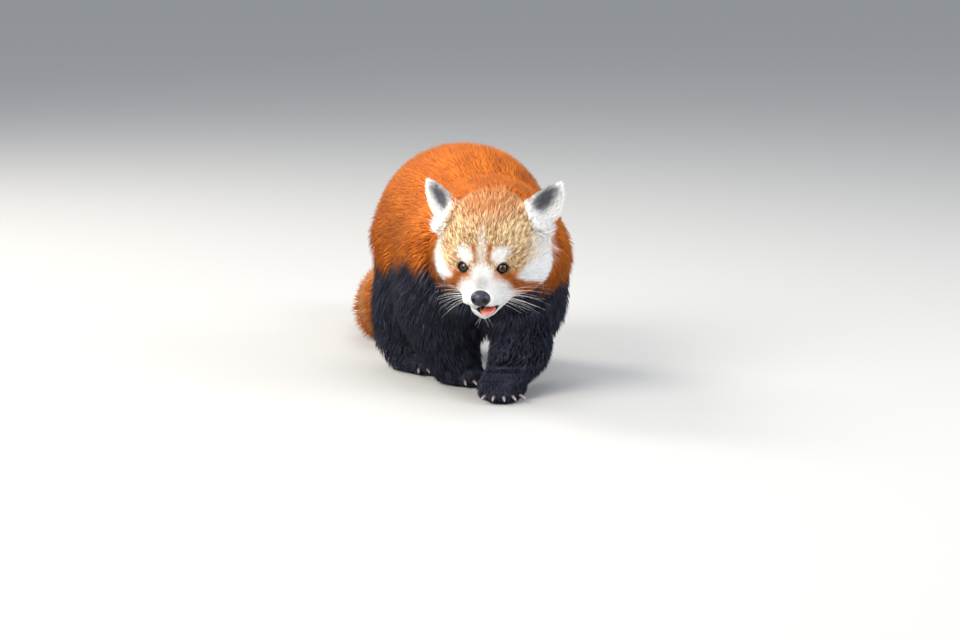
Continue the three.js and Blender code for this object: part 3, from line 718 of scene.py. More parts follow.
class Value:
    """A shader socket that takes part in Python expressions."""

    def __init__(self, tree, socket):
        self.tree = tree
        self.socket = socket

    def math(self, operation, *others):
        return self.tree.node("ShaderNodeMath", {"operation": operation}, dict(enumerate([self, *others])))

    def __add__(self, other):
        return self.math("ADD", other)

    def __sub__(self, other):
        return self.math("SUBTRACT", other)

    def __mul__(self, other):
        return self.math("MULTIPLY", other)

    def __rsub__(self, other):
        return self.tree.node("ShaderNodeMath", {"operation": "SUBTRACT"}, {0: other, 1: self})

    __radd__ = __add__
    __rmul__ = __mul__

    def mix(self, below, above):
        """A colour between two others, by this value."""
        return self.tree.node(
            "ShaderNodeMix",
            {"data_type": "RGBA"},
            {"Factor": self, 6: below, 7: above},
            output=2,
        )

    def darkened(self, color, share=1.0):
        """This colour multiplied by another one."""
        return self.tree.node(
            "ShaderNodeMix",
            {"data_type": "RGBA", "blend_type": "MULTIPLY"},
            {"Factor": share, 6: self, 7: color},
            output=2,
        )


class Tree:
    """A material's nodes, made one at a time."""

    def __init__(self, name):
        self.material = bpy.data.materials.new(name)
        self.material.use_nodes = True
        self.nodes = self.material.node_tree.nodes
        self.links = self.material.node_tree.links
        self.shader = self.nodes["Principled BSDF"]

    def node(self, kind, settings=None, inputs=None, output=0):
        made = self.nodes.new(kind)
        for name, value in (settings or {}).items():
            if name == "stops":
                ramp = made.color_ramp.elements
                while len(ramp) < len(value):
                    ramp.new(0.5)
                for stop, (place, color) in zip(ramp, value):
                    stop.position = place
                    stop.color = (*color, 1)
            else:
                setattr(made, name, value)
        for name, value in (inputs or {}).items():
            self.feed(made.inputs[name], value)
        return Value(self, made.outputs[output])

    def feed(self, socket, value):
        if isinstance(value, Value):
            self.links.new(value.socket, socket)
        elif hasattr(value, "__len__") and len(value) == 3 and socket.type == "RGBA":
            socket.default_value = (*value, 1)
        else:
            socket.default_value = value

    def attribute(self, name):
        return self.node("ShaderNodeAttribute", {"attribute_name": name}, output=2)

    def noise(self, scale, detail=3.0, rough=0.6):
        place = self.node("ShaderNodeTexCoord", output=3)
        return self.node(
            "ShaderNodeTexNoise",
            inputs={"Vector": place, "Scale": scale, "Detail": detail, "Roughness": rough},
        )

    def bump(self, height, strength, distance):
        return self.node(
            "ShaderNodeBump", inputs={"Height": height, "Strength": strength, "Distance": distance}
        )

    def set(self, **sockets):
        for name, value in sockets.items():
            self.feed(self.shader.inputs[name.replace("_", " ")], value)
        return self.material


# Colours that the markings bring to the coat and the skin, with the painted shade above the nose, and the
# painted shade of the skin under the coat and of the hairs towards their roots
ORANGE_DEEP = (0.24, 0.06, 0.010)
ORANGE = (0.56, 0.17, 0.03)
NOSE_SHADE_COLOR = (0.34, 0.33, 0.36)
SKIN_SHADE = (0.62, 0.60, 0.60)
BARE_SKIN = (0.012, 0.010, 0.011)
MOUTH_RED = (0.22, 0.035, 0.03)
ROOT_SHADE = 0.55


def marked_color(tree, look, tint):
    """The coat's colour from its markings, shared by the skin and the tufts."""

    def shade(color, low, high):
        dark = tuple(c * low for c in color)
        light = tuple(min(1, c * high) for c in color)
        return tint.mix(dark, light)

    banded = 1.8 * tint + 0.6 * tree.attribute("along") - 0.85
    color = tint.mix(tuple(look.rust_deep), tuple(look.rust))
    color = tree.attribute("cream").mix(color, banded.mix(tuple(look.speckle), tuple(look.cream)))
    layers = {
        "orange": tint.mix(ORANGE_DEEP, ORANGE),
        "pale": shade(look.buff, 0.7, 1.15),
        "dark": shade(look.deep_brown, 0.6, 1.3),
        "white": shade(look.white, 0.86, 1.06),
        # A painted shade above the nose
        "grey": NOSE_SHADE_COLOR,
        # The black's wide range paints lighter streaks of sheen, spread at random over the tufts
        "black": shade(look.black, 0.35, 2.2),
    }
    for mark, over in layers.items():
        color = tree.attribute(mark).mix(color, over)
    return color


def coat_material(look):
    """Hair with its markings and a painted shade that darkens it towards its roots."""
    tree = Tree("coat")
    # Painted shade within the coat: each hair darker towards its root
    shadow = ROOT_SHADE + (1 - ROOT_SHADE) * tree.attribute("along")
    grey = tree.node("ShaderNodeCombineColor", inputs={0: shadow, 1: shadow, 2: shadow})
    return tree.set(
        Base_Color=marked_color(tree, look, tree.attribute("tint")).darkened(grey),
        Roughness=0.62 + 0.2 * tree.noise(240.0),
        Specular_IOR_Level=0.14,
    )


def skin_material(look):
    """Skin with the coat's markings under a painted shade of the coat, dark where it is bare and red in the
    mouth.
    """
    tree = Tree("skin")
    streaks = tree.noise(420.0, 4.0, 0.7)
    bare = tree.attribute("bare")
    # The markings are darkened by SKIN_SHADE: painted shade of the skin under the coat
    color = bare.mix(marked_color(tree, look, streaks).darkened(SKIN_SHADE, 0.75), BARE_SKIN)
    return tree.set(
        Base_Color=tree.attribute("mouth").mix(color, MOUTH_RED),
        Roughness=0.85 - 0.5 * bare,
        Specular_IOR_Level=0.3,
        Normal=tree.bump(streaks, 0.35, 0.0008),
    )


def lip_distance(local):
    """Millimetres outside the open mouth's edge, far back on the cheeks as well."""
    middle, half = mouth_opening(local)
    past_corner = np.maximum(local[:, 1] + MOUTH_FORWARD[0], 0)
    return np.maximum(np.abs(local[:, 2] - middle) - half, past_corner)


def inside_mouth(local):
    """1 inside the open mouth, in the head's own frame."""
    return 1 - smooth(-1.2, 0.4, lip_distance(local))


def color_choice(name, description, default):
    """A colour that a user may change."""
    return FloatVectorProperty(
        name=name, description=description, subtype="COLOR", default=default, min=0, max=1
    )


def tuft_number(name, description, default):
    """A number of tufts that a user may change."""
    return IntProperty(name=name, description=description, default=default, min=0)


class PandaLook(PropertyGroup):
    """Colours of the coat"""

    rust: color_choice("Rust", "Lit hairs of the back", (0.70, 0.195, 0.016))
    rust_deep: color_choice("Deep rust", "Darker hairs of the back", (0.40, 0.085, 0.007))
    # The black of the legs and belly is dark fur; its blue tone is a painted reflection of the sky
    black: color_choice("Black", "Legs and belly", (0.026, 0.028, 0.044))
    white: color_choice("White", "Muzzle, cheeks and brows", (0.92, 0.91, 0.89))
    cream: color_choice("Cream", "Lit hairs of the forehead", (0.96, 0.78, 0.47))
    speckle: color_choice("Speckle", "Dark hairs of the forehead", (0.30, 0.115, 0.026))
    buff: color_choice("Buff", "Pale rings of the tail", (0.62, 0.36, 0.16))
    deep_brown: color_choice("Deep brown", "Tip of the tail", (0.06, 0.025, 0.014))


class PandaCoat(PropertyGroup):
    """Fineness of the coat"""

    trunk_count: tuft_number("Trunk tufts", "Tufts on the back, flanks and belly", 50000)
    leg_count: tuft_number("Leg tufts", "Tufts on the legs", 30000)
    tail_count: tuft_number("Tail tufts", "Tufts on the tail", 20000)
    head_count: tuft_number("Head tufts", "Tufts on the head", 38000)


class PandaStage(PropertyGroup):
    """Camera and lights"""

    azimuth: FloatProperty(
        name="Azimuth",
        description="Side the camera stands on",
        subtype="ANGLE",
        unit="ROTATION",
        default=math.radians(-20),
    )
    elevation: FloatProperty(
        name="Elevation",
        description="Height of the view",
        subtype="ANGLE",
        unit="ROTATION",
        default=math.radians(9),
    )
    distance: FloatProperty(
        name="Distance",
        description="From the camera to the head",
        unit="LENGTH",
        subtype="DISTANCE",
        default=3.4,
    )
    view_width: FloatProperty(
        name="View width",
        description="Width of the view at the head",
        unit="LENGTH",
        subtype="DISTANCE",
        default=1.104,
    )
    key_power: FloatProperty(
        name="Key light", description="Power of the main light", unit="POWER", default=126.0
    )


# Where the middle of the view lies from the middle of the eyes, across and up, in metres
VIEW_ACROSS = -0.0045
VIEW_UP = -0.0615
SENSOR_WIDTH = 36.0
LIT_POINT = (0, 0, 0.15)
SKY_COLOR = (0.80, 0.86, 0.95, 1)
SKY_STRENGTH = 0.82
FLOOR_HALF = 14.0
FLOOR_COLOR = (0.36, 0.355, 0.345)
# Round lights: place and width in metres, share of the main light's power, and colour
LIGHTS = {
    "key": ((-2.0, -1.35, 1.5), 1.6, 1.0, (1.0, 0.96, 0.90)),
    "fill": ((1.9, -1.9, 1.2), 1.8, 0.5, (0.92, 0.95, 1.0)),
    "back": ((-1.3, 1.8, 1.9), 1.2, 0.62, (1.0, 0.95, 0.86)),
    "top": ((0.3, 0.2, 2.6), 1.8, 0.28, (1.0, 1.0, 1.0)),
}


class PANDA_OT_stage(Operator):
    """Makes the floor, the lights and the camera"""

    bl_idname = "panda.stage"
    bl_label = "Floor, lights and camera"

    def execute(self, context):
        stage = context.scene.panda_stage
        a, e = stage.azimuth, stage.elevation
        back = Vector((math.sin(a) * math.cos(e), -math.cos(a) * math.cos(e), math.sin(e)))
        right = Vector((math.cos(a), math.sin(a), 0))
        up = back.cross(right)
        eyes = Vector((EYES["right"] + EYES["left"]) / 2 * MM)
        target = eyes + right * VIEW_ACROSS + up * VIEW_UP
        data = bpy.data.cameras.new("camera")
        data.sensor_width = SENSOR_WIDTH
        data.lens = SENSOR_WIDTH * stage.distance / stage.view_width
        camera = bpy.data.objects.new("camera", data)
        turn = Matrix((right, up, back)).transposed().to_4x4()
        camera.matrix_world = Matrix.Translation(target + back * stage.distance) @ turn
        context.scene.collection.objects.link(camera)
        context.scene.camera = camera
        self.add_floor(context)
        self.add_lights(context, stage.key_power)
        return {"FINISHED"}

    def add_floor(self, context):
        mesh = bpy.data.meshes.new("floor")
        corners = [(x * FLOOR_HALF, y * FLOOR_HALF, 0) for x, y in ((-1, -1), (1, -1), (1, 1), (-1, 1))]
        mesh.from_pydata(corners, [], [(0, 1, 2, 3)])
        floor = bpy.data.objects.new("floor", mesh)
        mesh.materials.append(Tree("pale_floor").set(Base_Color=FLOOR_COLOR, Roughness=0.9))
        context.scene.collection.objects.link(floor)
        floor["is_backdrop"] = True

    def add_lights(self, context, power):
        world = bpy.data.worlds.new("studio")
        world.use_nodes = True
        background = world.node_tree.nodes["Background"]
        background.inputs["Color"].default_value = SKY_COLOR
        background.inputs["Strength"].default_value = SKY_STRENGTH
        context.scene.world = world
        context.scene.view_settings.view_transform = "Standard"
        for name, (place, size, share, color) in LIGHTS.items():
            data = bpy.data.lights.new(name, "AREA")
            data.shape = "DISK"
            data.size = size
            data.energy = power * share
            data.color = color
            light = bpy.data.objects.new(name, data)
            light.location = place
            toward = Vector(LIT_POINT) - Vector(place)
            light.rotation_euler = toward.to_track_quat("-Z", "Y").to_euler()
            context.scene.collection.objects.link(light)


# What one step leaves for later ones: the fields of the coat and the skin, and the coat's material
store = {}


class PANDA_OT_skin(Operator):
    """Makes one skin under the whole coat, with lids, eye sockets and lips"""

    bl_idname = "panda.skin"
    bl_label = "Skin"

    def execute(self, context):
        body, head = build_form()
        body_skin = skin_values(body, depth_field(body, BODY_DEPTH_CELL), -1)
        head_skin = skin_values(head, depth_field(head, HEAD_DEPTH_CELL), 1)
        pieces = [surface_of(body_skin), surface_of(head_skin)]
        count = len(pieces[0][0])
        points = np.concatenate([pieces[0][0], pieces[1][0]]).astype(float)
        faces = [pieces[0][1], pieces[0][2], pieces[1][1] + count, pieces[1][2] + count]
        faces = [f[:, ::-1] for f in faces if len(f)]
        if not len(points):
            raise RuntimeError("the skin has no surface")
        skin = new_mesh("skin", points, faces)
        for name, values in markings(points).items():
            put(skin.data, name, values)
        put(skin.data, "mouth", inside_mouth(into_head(points)))
        put(skin.data, "bare", bare_skin(points))
        finish_piece(skin, skin_material(context.scene.panda_look))
        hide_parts(*SKIN_NODES)
        store.update(body=body, head=head, body_skin=body_skin, head_skin=head_skin)
        return {"FINISHED"}


# Half the size of the bare skin round the nose, and where the soles end towards the tail
NOSE_BARE = np.array([11.6, 9.4, 9.4])
SOLES_END = (250, 290)


def bare_skin(points):
    """1 where the skin shows without hair: the lids' edges, round the nose, the lips and the soles."""
    local = into_head(points)
    bare = np.zeros(len(points))
    for side in EYES:
        across, up, front = from_eye(local, side)
        bare = np.maximum(bare, (1 - smooth(1.10, 1.26, almond(across, up))) * smooth(-1, 1, front))
    from_nose = (local - into_head(node_middle("nose"))) / NOSE_BARE
    bare = np.maximum(bare, 1 - smooth(0.95, 1.08, np.linalg.norm(from_nose, axis=1)))
    bare = np.maximum(bare, 1 - smooth(0.6, 1.6, lip_distance(local)))
    soles = (1 - smooth(3.0, 4.5, points[:, 2])) * (1 - smooth(*SOLES_END, points[:, 1] - SHOULDER[1]))
    return np.clip(np.maximum(bare, soles), 0, 1)


def finish_piece(piece, material):
    """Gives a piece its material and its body."""
    piece.data.materials.append(material)
    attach(piece, "root")


# Steepest turn within one part of the flat map, the gap between its parts, and an area too small to use
MAP_ANGLE = math.radians(75)
MAP_GAP = 0.004
NO_WEIGHT = 1e-9


class Roots:
    """Evenly strewn places on a part of the skin, with their place on an unwrap of it."""

    def __init__(self, share, count, seed):
        co, corners = mesh_arrays(bpy.data.objects["skin"].data)
        self.points = co.astype(float) / MM
        a, b, c = (self.points[corners[:, i]] for i in range(3))
        areas = np.linalg.norm(np.cross(b - a, c - a), axis=1) / 2
        weight = areas * share(self.points[corners].mean(axis=1))
        used = weight > NO_WEIGHT
        self.corners = corners[used]
        uv = self.unwrap()
        draw = np.random.RandomState(seed)
        sums = np.cumsum(weight[used])
        picks = (np.arange(count) + draw.uniform(size=count)) / count * sums[-1]
        chosen = np.minimum(np.searchsorted(sums, picks), len(sums) - 1)
        r1, r2 = np.sqrt(draw.uniform(size=count)), draw.uniform(size=count)
        shares = np.stack([1 - r1, r1 * (1 - r2), r1 * r2], 1)[:, :, None]
        self.at = (self.points[self.corners[chosen]] * shares).sum(axis=1)
        self.map = (uv[chosen] * shares).sum(axis=1)

    def unwrap(self):
        """A flat map of the chosen part of the skin, in its own shape."""
        kept, index = np.unique(self.corners, return_inverse=True)
        patch = new_mesh("patch", self.points[kept], [index.reshape(-1, 3)])
        mesh = patch.data
        mesh.uv_layers.new(name="map")
        bpy.context.view_layer.objects.active = patch
        bpy.ops.object.select_all(action="DESELECT")
        patch.select_set(True)
        bpy.ops.object.mode_set(mode="EDIT")
        bpy.ops.mesh.select_all(action="SELECT")
        bpy.ops.uv.smart_project(angle_limit=MAP_ANGLE, island_margin=MAP_GAP)
        bpy.ops.object.mode_set(mode="OBJECT")
        uv = np.empty(len(mesh.loops) * 2, np.float32)
        mesh.uv_layers["map"].data.foreach_get("uv", uv)
        bpy.data.objects.remove(patch)
        bpy.data.meshes.remove(mesh)
        return uv.reshape(-1, 3, 2)


# A tuft: how deep its root sits, how far along and how high it bends, and the width left at the bend
ROOT_DEPTH = 1.2
BEND_ALONG = 0.42
BEND_RISE = 0.72
BEND_SWAY = 0.2
BEND_WIDTH = 0.8
# The share of root to tip at the bend, which sets the painted root shade and the forehead's banding there
BEND_SHADE = 0.55
TUFT_FLATNESS = 0.6
TUFT_FLOOR = 0.8
# How uneven tufts are: shares of the depth they may have, and ranges of length, rise, width and sway
DEPTH_RANGE = (0.6, 1.15)
LENGTH_RANGE = (0.78, 1.08)
RISE_RANGE = (0.85, 1.12)
WIDTH_RANGE = (0.75, 1.3)
SWAY = 0.06
# Step of the seeds from the roots' draws to the tufts', and how much neighbours share a tint
TUFT_SEED_STEP = 20
CLUMP_TINT = 0.30
# Each tuft's own spot on the flat map
SPOT_RADIUS = 0.0015
SPOT_TURN = 2.4


def grow_tufts(name, roots, settings, seed):
    """One joined mesh of tapered three-sided locks that lie along the coat."""
    length_share, width, lift, clump, spread = settings
    at = roots.at
    count = len(at)
    draw = np.random.RandomState(seed)
    on_head = in_head(at) > 0
    normal = np.empty_like(at)
    for field, rows in ((store["head_skin"], on_head), (store["body_skin"], ~on_head)):
        if rows.any():
            normal[rows] = field.slope(at[rows])
    depth, way, _ = anatomy(at)
    room = np.where(on_head, -store["head"].at(at), -store["body"].at(at))
    depth = np.clip(room, DEPTH_RANGE[0] * depth, DEPTH_RANGE[1] * depth)
    side = unit(np.cross(normal, way) + 1e-6)
    flow = unit(way - normal * (way * normal).sum(1, keepdims=True))
    flow = unit(flow + side * draw.normal(0, spread, (count, 1)))
    side = np.cross(normal, flow)
    long = draw.uniform(*LENGTH_RANGE, (count, 1))
    reach = depth[:, None] * length_share(at)[:, None] * long
    rise = (depth * lift(at))[:, None] * draw.uniform(*RISE_RANGE, (count, 1))
    half = (width(at) / 2)[:, None] * draw.uniform(*WIDTH_RANGE, (count, 1))
    sway = side * reach * draw.normal(0, SWAY, (count, 1))
    base = at - normal * np.minimum(ROOT_DEPTH, 0.5 * depth)[:, None]
    tip = at + flow * reach + normal * rise + sway
    bend = at + flow * reach * BEND_ALONG + normal * rise * BEND_RISE + sway * BEND_SWAY
    turn = draw.uniform(0, 2 * math.pi, count)
    upward = np.cross(unit(tip - base), side)
    points = []
    for place, share in ((base, 1.0), (bend, BEND_WIDTH)):
        for corner in range(3):
            angle = (turn + corner * 2 * math.pi / 3)[:, None]
            ring = np.cos(angle) * side + np.sin(angle) * TUFT_FLATNESS * upward
            points.append(place + half * share * ring)
    points = np.stack([*points, tip], 1)
    points[:, :, 2] = np.maximum(points[:, :, 2], TUFT_FLOOR)
    per = points.shape[1]
    first = (np.arange(count) * per)[:, None]
    edges = [(0, 1), (1, 2), (2, 0)]
    quads = np.concatenate([first + np.array([[a, b, 3 + b, 3 + a]]) for a, b in edges])
    triangles = np.concatenate([first + np.array([[3 + a, 3 + b, 6]]) for a, b in edges])
    piece = new_mesh(name, points.reshape(-1, 3), [quads, triangles])
    mesh = piece.data
    for mark, values in markings(at).items():
        put(mesh, mark, np.repeat(values, per))
    tint = np.clip(draw.beta(2.0, 2.0, count) + CLUMP_TINT * ripple(at, clump, 17), 0, 1)
    put(mesh, "tint", np.repeat(tint, per))
    # along runs from 0 at the root to 1 at the tip; it sets the painted root shade and the forehead's
    # banding
    put(mesh, "along", np.tile([0.0] * 3 + [BEND_SHADE] * 3 + [1.0], count))
    corner_of = np.empty(len(mesh.loops), np.int32)
    mesh.loops.foreach_get("vertex_index", corner_of)
    turns = np.arange(per) * SPOT_TURN
    spot = SPOT_RADIUS * np.stack([np.cos(turns), np.sin(turns)], 1)
    uv = roots.map[corner_of // per] + spot[corner_of % per]
    layer = mesh.uv_layers.new(name="OFBake")
    layer.data.foreach_set("uv", uv.astype(np.float32).ravel())
    return piece


def grow_coat(context, plan, first_seed):
    """Grows each piece of a plan: its name, part of the skin, number of tufts, look and slot; the slot is
    not used.
    """
    if "coat" not in store:
        store["coat"] = coat_material(context.scene.panda_look)
    thin = 1.0
    for seed, (name, share, count, look, slot) in enumerate(plan, first_seed):
        roots = Roots(share, int(count * thin), seed)
        piece = grow_tufts(name, roots, look, seed + TUFT_SEED_STEP)
        finish_piece(piece, store["coat"])


def constant(value):
    """A size of the tufts that is the same all over a piece."""
    return lambda points: np.full(len(points), float(value))


def hairy(points):
    """1 where the coat grows, 0 on bare skin and in the mouth."""
    return np.clip(1 - 1.6 * bare_skin(points) - 2 * inside_mouth(into_head(points)), 0, 1)


def ear_base(points):
    """1 by the roots of the ears, 0 away from them."""
    away = [np.linalg.norm(points - EAR_ROOTS[side], axis=1) for side in (-1, 1)]
    return 1 - smooth(24, 42, np.minimum(*away))


def sockets_clear(points):
    """0 inside the eye sockets."""
    local = into_head(points)
    clear = np.ones(len(points))
    for side in EYES:
        away = np.linalg.norm(local - into_head(EYES[side]), axis=1)
        clear *= smooth(EYE_RADIUS + 0.8, EYE_RADIUS + 1.2, away)
    return clear


# Where the coat changes pieces: along the trunk, between the legs, and on the head
TRUNK_PARTS = (-400, 30, 110, 600)
LEGS_APART = 75
FACE_END = -14
BODY_SEED = 11
HEAD_SEED = 51
# Sizes of the tufts: length as a share of the coat's depth, width, height, width of a clump and spread
TRUNK_LOOK = (constant(1.75), constant(2.0), constant(1.08), 18, 0.15)
TAIL_LOOK = (constant(1.45), constant(2.1), constant(1.0), 14, 0.22)


class PANDA_OT_body_coat(Operator):
    """Grows the coat of the trunk, neck, legs and tail"""

    bl_idname = "panda.body_coat"
    bl_label = "Coat of the body"

    def execute(self, context):
        coat = context.scene.panda_coat

        def of_body(points):
            return hairy(points) * (in_head(points) < 0)

        def trunk_part(low, high):
            def share(points):
                shares = group_shares(points)
                y = points[:, 1] - SHOULDER[1]
                group = shares["trunk"] + shares["neck"]
                return of_body(points) * (group >= 0.5) * (y >= low) * (y < high)

            return share

        def leg_part(in_front):
            def share(points):
                shares = group_shares(points)
                group = shares["leg"] + shares["foot"]
                near = (points[:, 1] - SHOULDER[1]) < LEGS_APART
                dense = 1 + 1.8 * shares["foot"]
                return of_body(points) * dense * (group > 0.5) * (near == in_front)

            return share

        def tail_part(points):
            return of_body(points) * (group_shares(points)["tail"] > 0.5)

        def leg_width(points):
            return np.where(points[:, 2] < 40, 1.15, 1.7)

        leg_look = (constant(1.55), leg_width, constant(1.0), 12, 0.2)
        front, middle, rump = (trunk_part(*ends) for ends in zip(TRUNK_PARTS, TRUNK_PARTS[1:]))
        plan = [
            ("coat_shoulders", front, coat.trunk_count * 0.32, TRUNK_LOOK, "rust_fur"),
            ("coat_back", middle, coat.trunk_count * 0.31, TRUNK_LOOK, "rust_fur"),
            ("coat_rump", rump, coat.trunk_count * 0.37, TRUNK_LOOK, "rust_fur"),
            ("coat_front_legs", leg_part(True), coat.leg_count * 0.55, leg_look, "black_fur"),
            ("coat_hind_legs", leg_part(False), coat.leg_count * 0.45, leg_look, "black_fur"),
            ("coat_tail", tail_part, coat.tail_count, TAIL_LOOK, "rust_fur"),
        ]
        grow_coat(context, plan, BODY_SEED)
        return {"FINISHED"}


class PANDA_OT_head_coat(Operator):
    """Grows the coat of the head and ears"""

    bl_idname = "panda.head_coat"
    bl_label = "Coat of the head"

    def execute(self, context):
        count = context.scene.panda_coat.head_count

        def on_head(points):
            return hairy(points) * sockets_clear(points) * (in_head(points) >= 0)

        def face(points):
            back = into_head(points)[:, 1]
            off_ears = on_head(points) * (group_shares(points)["ear"] < 0.5)
            return off_ears * (back < FACE_END) * (1 + smooth(0, 40, -back - 20))

        def sides(points):
            off_ears = on_head(points) * (group_shares(points)["ear"] < 0.5)
            return off_ears * (into_head(points)[:, 1] >= FACE_END)

        def ears(points):
            return on_head(points) * (group_shares(points)["ear"] >= 0.5)

        def head_length(points):
            muzzle_to_skull = smooth(-50, 0, into_head(points)[:, 1])
            return (2.7 - 0.9 * muzzle_to_skull) * (1 - 0.45 * ear_base(points))

        def head_width(points):
            return 0.65 + 0.8 * smooth(-50, -20, into_head(points)[:, 1])

        def head_lift(points):
            return 0.9 + 0.3 * smooth(34, 62, into_head(points)[:, 2])

        def ear_length(points):
            return 4.0 - 1.8 * ear_base(points)

        head_look = (head_length, head_width, head_lift, 4.5, 0.16)
        ear_look = (ear_length, constant(0.85), constant(1.1), 4.5, 0.22)
        plan = [
            ("coat_face", face, count * 0.5, head_look, "face_fur"),
            ("coat_head", sides, count * 0.35, head_look, "face_fur"),
            ("coat_ears", ears, count * 0.15, ear_look, "white_fur"),
        ]
        grow_coat(context, plan, HEAD_SEED)
        return {"FINISHED"}


# Places on the ball of an eye, the bulge of its clear front, and the rings of colour by angle from the gaze
EYE_RINGS = 40
EYE_SPOKES = 48
BULGE_HEIGHT = 0.5
BULGE_ANGLE = 0.5
BALL_SINK = 0.1
IRIS = [
    (0.0, (0.004, 0.003, 0.003)),
    (0.28, (0.003, 0.002, 0.002)),
    (0.34, (0.070, 0.032, 0.014)),
    (0.60, (0.040, 0.017, 0.008)),
    (0.72, (0.010, 0.005, 0.004)),
    (1.0, (0.02, 0.012, 0.01)),
]


class PANDA_OT_eyes(Operator):
    """Makes the two eyes, with pupil, iris and a clear front"""

    bl_idname = "panda.eyes"
    bl_label = "Eyes"

    def execute(self, context):
        material = self.eye_material()
        for side in EYES:
            across, up, gaze = (HEAD_AXES @ v for v in eye_frame(side))
            points, angle = [], []
            for i in range(EYE_RINGS + 1):
                polar = math.pi * i / EYE_RINGS
                radius = EYE_RADIUS + BULGE_HEIGHT * math.exp(-((polar / BULGE_ANGLE) ** 2)) - BALL_SINK
                for j in range(EYE_SPOKES):
                    turn = 2 * math.pi * j / EYE_SPOKES
                    outward = math.cos(turn) * across + math.sin(turn) * up
                    way = math.cos(polar) * gaze + math.sin(polar) * outward
                    points.append(EYES[side] + way * radius)
                    angle.append(polar)
            index = np.arange(EYE_RINGS * EYE_SPOKES).reshape(EYE_RINGS, EYE_SPOKES)
            beside = np.roll(index, -1, 1)
            quads = np.stack([index, index + EYE_SPOKES, beside + EYE_SPOKES, beside], -1).reshape(-1, 4)
            if side == "right":
                quads = quads[:, ::-1]
            eye = new_mesh(f"eye_{side}_ball", np.array(points), [quads])
            put(eye.data, "polar", angle)
            finish_piece(eye, material)
            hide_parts(f"eye_{side}")
        return {"FINISHED"}

    def eye_material(self):
        tree = Tree("eye")
        uneven = tree.attribute("polar") + 0.05 * tree.noise(900.0) - 0.025
        color = tree.node("ShaderNodeValToRGB", {"stops": IRIS}, {"Fac": uneven})
        return tree.set(Base_Color=color, Roughness=0.05, Specular_IOR_Level=0.32)


def refined_copy(name, node, levels):
    """A smooth, finer copy of a solid, its corners joined first."""
    points, triangles = solids_together([node])
    places = np.round(points / WELD_GRID)
    _, first, joined = np.unique(places, axis=0, return_index=True, return_inverse=True)
    copy = new_mesh(name, points[first], [joined.reshape(-1)[triangles]])
    rounding = copy.modifiers.new("rounding", "SUBSURF")
    rounding.levels = levels
    rounding.render_levels = levels
    graph = bpy.context.evaluated_depsgraph_get()
    mesh = bpy.data.meshes.new_from_object(copy.evaluated_get(graph))
    bpy.data.objects.remove(copy)
    made = bpy.data.objects.new(name, mesh)
    bpy.context.scene.collection.objects.link(made)
    mesh.polygons.foreach_set("use_smooth", np.ones(len(mesh.polygons), bool))
    return made


# The nose: how much larger it is than its solid, each nostril's two hollows, and their depth
NOSE_SWELL = 1.09
NOSTRIL_BORE = ((5.2, -0.8), (2.1, 2.6), -30, 0.5)
NOSTRIL_SLIT = ((7.6, -3.2), (3.4, 1.1), 30, 0.5)
NOSTRIL_DEPTH = 3.6
GROOVE_DEPTH = 0.9
GROOVE_HALF = 0.8
NOSE_DARK = (0.008, 0.009, 0.018)
NOSE_LIT = (0.017, 0.019, 0.036)
# Painted shade: the black of the nostrils' hollows
NOSTRIL_SHADE = (0.002, 0.002, 0.002)


class PANDA_OT_nose(Operator):
    """Makes the bare nose with its nostrils"""

    bl_idname = "panda.nose"
    bl_label = "Nose"

    def execute(self, context):
        nose = refined_copy("nose_pad", "nose", 4)
        mesh = nose.data
        points = mesh_points(mesh)
        middle = into_head(points.mean(axis=0))
        local = into_head(points) - middle
        side, back, up = local.T
        local = local * NOSE_SWELL
        depth = np.zeros(len(points))
        for sign in (-1, 1):
            bore, slit = (blob(side * sign, up, *hollow) for hollow in (NOSTRIL_BORE, NOSTRIL_SLIT))
            depth = np.maximum(depth, np.maximum(bore, 0.8 * slit))
        front = smooth(0, 3, -back)
        depth = depth * front
        groove = np.exp(-((side / GROOVE_HALF) ** 2)) * smooth(-1, 2, -up) * front
        local[:, 1] += NOSTRIL_DEPTH * depth + GROOVE_DEPTH * groove
        moved = out_of_head(local + middle)
        mesh.vertices.foreach_set("co", (moved * MM).astype(np.float32).ravel())
        mesh.update()
        put(mesh, "nostril", smooth(0.35, 0.85, depth))
        finish_piece(nose, self.nose_material())
        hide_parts("nose")
        return {"FINISHED"}

    def nose_material(self):
        tree = Tree("nose_skin")
        place = tree.node("ShaderNodeTexCoord", output=3)
        pebbles = tree.node("ShaderNodeTexVoronoi", {"feature": "F1"}, {"Vector": place, "Scale": 900.0})
        # The nostrils' hollows take the painted black shade
        hole = tree.attribute("nostril")
        return tree.set(
            Base_Color=hole.mix(tree.noise(300.0).mix(NOSE_DARK, NOSE_LIT), NOSTRIL_SHADE),
            Specular_IOR_Level=0.3,
            Roughness=0.5 + 0.3 * hole,
            Normal=tree.bump(pebbles, 0.3, 0.0002),
            Coat_Weight=0.1,
        )


class PANDA_OT_tongue(Operator):
    """Makes the tongue that shows in the open mouth"""

    bl_idname = "panda.tongue"
    bl_label = "Tongue"

    def execute(self, context):
        tree = Tree("tongue")
        bumps = tree.noise(1400.0, 2.0)
        color = tree.noise(180.0).mix((0.74, 0.13, 0.10), (0.86, 0.23, 0.17))
        material = tree.set(
            Base_Color=color,
            Roughness=0.32 + 0.12 * bumps,
            Coat_Weight=0.4,
            Normal=tree.bump(bumps, 0.2, 0.0001),
        )
        tongue = refined_copy("tongue_body", "tongue", 3)
        finish_piece(tongue, material)
        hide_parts("tongue")
        return {"FINISHED"}


